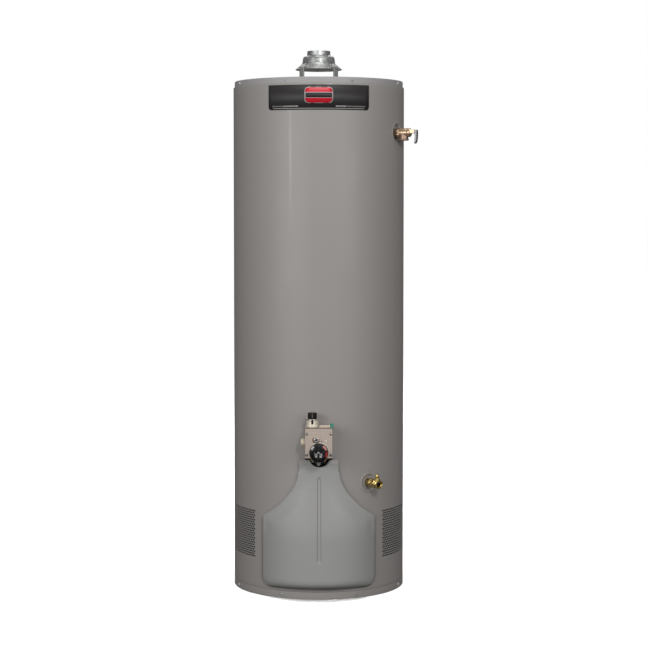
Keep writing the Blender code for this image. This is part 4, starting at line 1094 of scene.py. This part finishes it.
def build_dial():
    """The temperature dial: a ring with a coloured scale and a ribbed knob with plain numbers."""
    place = on_face(DIAL.x, DIAL.z)
    where = {"body": "temperature_dial", "place": place}
    ring = [(0, 0.0075), (0.02, 0.0075), (0.0208, 0.0066), (0.0268, 0.0056), (0.0276, 0.0046),
            (0.0276, 0.0012), (0.0268, 0.0006), (0, 0.0006)]
    lathe("dial_ring", ring, "black_plastic", 96, False, 0.0004, nodes=["temperature_dial"], **where)
    knob = prism("dial_knob", ribbed(0.0186, 0.0007, 30), "black_plastic", 0.0072, 0.0218, **where)
    bevelled(knob, 0.0006, 2, 50)
    cap = [(0, 0.0222), (0.015, 0.0222), (0.016, 0.023), (0.0174, 0.0229), (0.0181, 0.0216), (0, 0.0216)]
    lathe("dial_cap", cap, "black_plastic", 96, False, 0.0004, **where)
    # The pale sector on the ring's upper left is painted highlight on the glossy ring as well as a mark; the
    # pink and red sectors are the printed scale.
    for name, look, first, last in (("white", "light_print", 127, 156), ("pink", "pink_print", 20, 58),
                                    ("red", "red_plastic", -30, 8)):
        sector = ring_sector(0.0203, 0.0262, first, last, 0.0058, 0.007, 12)
        piece("dial_scale_" + name, sector, look, **where)
    prints = [number(text, size, place @ at(-0.001, height, 0.02225)) for text, size, height in
              (("60", 0.0066, 0.003), ("50   70", 0.008, -0.0028), ("40   80", 0.0072, -0.0088))]
    for index in range(5):
        turn = Matrix.Rotation(math.radians(-70 + 35 * index), 4, "Z")
        prints.append((extruded(rectangle(0.0003, 0.0008, 0, 0.0135), 0.0222, 0.02235), place @ turn))
    gathered("dial_numbers", prints, "light_print", body="temperature_dial")


def build_gas_cock():
    place = at(COCK.x, COCK.y)
    base = CONTROL_HIGH.z + 0.0001
    neck = [(0.0036, base), (0.019, base), (0.019, base + 0.005), (0.0176, base + 0.0066),
            (0.0176, base + 0.0166), (0.0166, base + 0.0182), (0.0108, base + 0.0182),
            (0.01, base + 0.03), (0.0036, base + 0.03)]
    lathe("cock_neck", neck, "light_casting", 64, radius=0.0012, nodes=["gas_cock_neck"], place=place)
    stop = block((-0.018, -0.003, base + 0.017), (-0.015, 0.003, base + 0.029))
    bevelled(piece("cock_stop", stop, "tube_aluminium", place=place), 0.0008, 2)
    # A black block on the front of the neck, under the knob: painted shade.
    neck_shade = block((-0.003, -0.0186, base + 0.01), (0.003, -0.015, base + 0.0232))
    bevelled(piece("cock_neck_painted_shade", neck_shade, "black_plastic", place=place), 0.0008, 2)
    skirt, rib = 0.0135, 0.0005
    knob = prism("cock_knob", ribbed(skirt - rib, rib, 20), "black_plastic", KNOB_LOW, KNOB_TOP - 0.0012,
                 body="gas_knob", nodes=["gas_knob"], place=place)
    carve(knob, rod(place, 0.0117, KNOB_LOW - 0.01, KNOB_LOW + 0.0138),
          rod(place, 0.0037, KNOB_LOW, KNOB_TOP - 0.0016))
    bevelled(knob, 0.0007, 3, 50)
    top = [(0, KNOB_TOP), (0.0112, KNOB_TOP), (0.0128, KNOB_TOP - 0.0013), (0, KNOB_TOP - 0.0013)]
    lathe("cock_knob_top", top, "black_plastic", 64, False, 0.0004, body="gas_knob", place=place)
    pointer = extruded(rectangle(0.0006, 0.0045, 0, -0.007), KNOB_TOP - 0.0002, KNOB_TOP + 0.0001)
    dash = block((-0.0006, -skirt - 0.0002, KNOB_LOW + 0.004), (0.0006, -skirt + 0.0006, KNOB_TOP - 0.004))
    gathered("cock_knob_marks", [(pointer, place), (dash, place)], "grey_print", body="gas_knob")


def build_inlet():
    low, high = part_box("gas_inlet_fitting")
    middle = (low + high) / 2
    place = at(0, middle.y, middle.z) @ Matrix.Rotation(-math.pi / 2, 4, "Y")
    inner, outer = -high.x, -low.x
    profile = [(0.0092, inner), (0.014, inner), (0.014, inner + 0.0016)]
    ribs = 4
    pitch = (outer - inner - 0.0022) / ribs
    for i in range(ribs):
        start = inner + 0.0018 + i * pitch
        profile += [(0.0122, start), (0.0122, start + pitch * 0.3), (0.0134, start + pitch * 0.45),
                    (0.0134, start + pitch * 0.95)]
    profile += [(0.0122, outer - 0.0002), (0.0092, outer)]
    lathe("gas_inlet", profile, "light_casting", 64, radius=0.0003, nodes=["gas_inlet_fitting"], place=place)


# Water connections

def build_nipples():
    for name, look in (("cold", "blue_plastic"), ("hot", "red_plastic")):
        node = name + "_nipple"
        centre = centre_of(node)
        low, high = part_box(node)[0].z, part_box(node)[1].z
        profile = [(0.0105, low), (0.0128, low), (0.0128, LID_TOP - 0.012),
                   *threads(0.01335, 0.0008, LID_TOP - 0.01, high - 0.0006, 0.0018),
                   (0.0124, high), (0.0105, high)]
        lathe(name + "_pipe", profile, "bright_steel", 48, nodes=[node], place=at(centre.x, centre.y))
        ring = [(0.0145, LID_TOP + 0.0004), (0.024, LID_TOP + 0.0004), (0.0236, LID_TOP + 0.0022),
                (0.02, LID_TOP + 0.004), (0.015, LID_TOP + 0.004)]
        lathe(name + "_ring", ring, look, 64, radius=0.0009, nodes=[name + "_marker_ring"],
              place=at(centre.x, centre.y))


def build_tubes():
    """The burner's gas tube, the pilot's tube and the sensor's lead, out of the control and down inside."""
    manifold = [(0, -0.296, 0.4336), (0, -0.296, 0.428), (0, -0.2905, 0.4175), (0, -0.278, 0.4115),
                (0, -0.264, 0.4095), (0, -0.2525, 0.404), (0, -0.2465, 0.391), (0, -0.246, 0.36),
                (0, -0.246, 0.155), (0, -0.2455, 0.13), (0, -0.242, 0.117), (0, -0.234, 0.112),
                (0, -0.222, 0.112), (0, -0.15, 0.11), (0, -0.115, 0.086), (0, -0.07, 0.072),
                (0, -0.008, 0.072)]
    tube("burner_gas_tube", manifold, 0.00635, "tube_aluminium", nodes=["manifold_tube"])
    tails = {
        "pilot_tube": [(-0.03, -0.18, 0.104), (-0.04, -0.13, 0.086), (-0.04, -0.1, 0.078),
                       (-0.04, -0.097, 0.0857)],
        "thermocouple_lead": [(0.012, -0.195, 0.097), (-0.01, -0.165, 0.088), (-0.026, -0.13, 0.08),
                              (-0.028, -0.1, 0.078), (-0.028, -0.097, 0.0857)],
    }
    for node, x, radius, look in (("pilot_tube", -0.018, 0.0032, "tube_aluminium"),
                                  ("thermocouple_lead", 0.018, 0.0021, "copper")):
        drop = [(x, -0.3, 0.4341), (x, -0.3, 0.43), (x, -0.294, 0.4215), (x, -0.28, 0.418),
                (x, -0.264, 0.417), (x, -0.251, 0.411), (x, -0.245, 0.397), (x, -0.2445, 0.36),
                (x, -0.2445, 0.15), (x, -0.244, 0.126), (x, -0.24, 0.1145), (x, -0.233, 0.112),
                (x, -0.222, 0.112)]
        tube(node + "_line", drop + tails[node], radius, look, nodes=[node])


def finish_inner_nodes():
    """Give every CAD node its finish; the ones that a piece replaces stay hidden."""
    for part in frame["record"]["subparts"]:
        node = frame["nodes"][part["node"]]
        look = "screen" if part["node"].startswith("air_screen") else part["material_slot"]
        for slot in node.material_slots:
            slot.material = LOOKS[look]


# Studio

def build_floor():
    """A white floor that catches shadows, but throws no light back onto the heater."""
    bm = bmesh.new()
    bmesh.ops.create_grid(bm, x_segments=1, y_segments=1, size=60)
    mesh = bpy.data.meshes.new("floor")
    bm.to_mesh(mesh)
    bm.free()
    floor = placed("floor", mesh)
    floor.location.z = cad_low.z - 0.0006
    floor.visible_diffuse = False
    floor.visible_glossy = False
    white = surface("floor_white", (0.9, 0.9, 0.9), 0.9, 0, 30, 0.005, 0, dirt=(0.91, 0.91, 0.91))
    mesh.materials.append(white)
    floor_light(floor)


def softbox(name, azimuth, height, distance, width, tall, power, aim=0.85):
    """A soft light at an angle round the heater, turned to its axis."""
    light = bpy.data.lights.new(name, "AREA")
    light.shape = "RECTANGLE"
    light.size, light.size_y = width, tall
    light.energy = power
    lamp = placed(name, light)
    lamp.location = radial(azimuth, height, distance).to_translation()
    lamp.rotation_euler = (Vector((0, 0, aim)) - lamp.location).to_track_quat("-Z", "Y").to_euler()


def floor_light(floor):
    """An even light from above for the floor alone, which leaves a soft shadow round the foot."""
    light = bpy.data.lights.new("floor_light", "SUN")
    light.energy = 3.4
    light.angle = math.radians(50)
    lamp = placed("floor_light", light)
    lit = bpy.data.collections.new("lit_floor")
    lit.objects.link(floor)
    lamp.light_linking.receiver_collection = lit


def build_world():
    """White behind the object, and a dim grey room for what it reflects."""
    world = bpy.data.worlds.new("studio")
    bpy.context.scene.world = world
    world.use_nodes = True
    tree = world.node_tree
    white = (1.0, 1.0, 1.0, 1.0)
    room = tree.nodes["Background"]
    room.inputs["Color"].default_value = white
    room.inputs["Strength"].default_value = 0.1
    backdrop = added(tree, "Background", {}, Color=white)
    path = added(tree, "LightPath", {})
    mix = added(tree, "MixShader", {"Fac": path.outputs["Is Camera Ray"]})
    tree.links.new(room.outputs["Background"], mix.inputs[1])
    tree.links.new(backdrop.outputs["Background"], mix.inputs[2])
    tree.links.new(mix.outputs["Shader"], tree.nodes["World Output"].inputs["Surface"])


def build_studio():
    build_floor()
    build_world()
    softbox("front_left", -35, 1.7, 5.2, 4.2, 2.6, 94)
    softbox("front_right", 38, 1.7, 5.2, 2.4, 1.8, 60)
    softbox("key", 14, 2.8, 4.6, 0.7, 0.7, 64)
    softbox("streak", -37, 1.66, 3.8, 0.1, 0.9, 17, 1.5)
    softbox("overhead", 10, 4.6, 0.6, 1.6, 1.2, 40, 0.0)
    softbox("back", 180, 4.6, 3.6, 3.0, 1.6, 110)
    camera = bpy.data.cameras.new("camera")
    camera.lens = 98.25
    camera.shift_x = 0.0081
    camera.shift_y = -0.04
    eye = placed("camera", camera)
    eye.location = (0.0, -5.499, 1.1776)
    eye.rotation_euler = (math.radians(90 - 2.996), 0, 0)
    bpy.context.scene.camera = eye
    bpy.context.scene.view_settings.view_transform = "Standard"


finish_inner_nodes()
build_jacket()
build_pans()
build_cover()
build_hood()
build_badge()
build_relief_valve()
build_drain_valve()
build_gas_body()
build_face_plate()
build_dial()
build_gas_cock()
build_inlet()
build_nipples()
build_tubes()
build_studio()
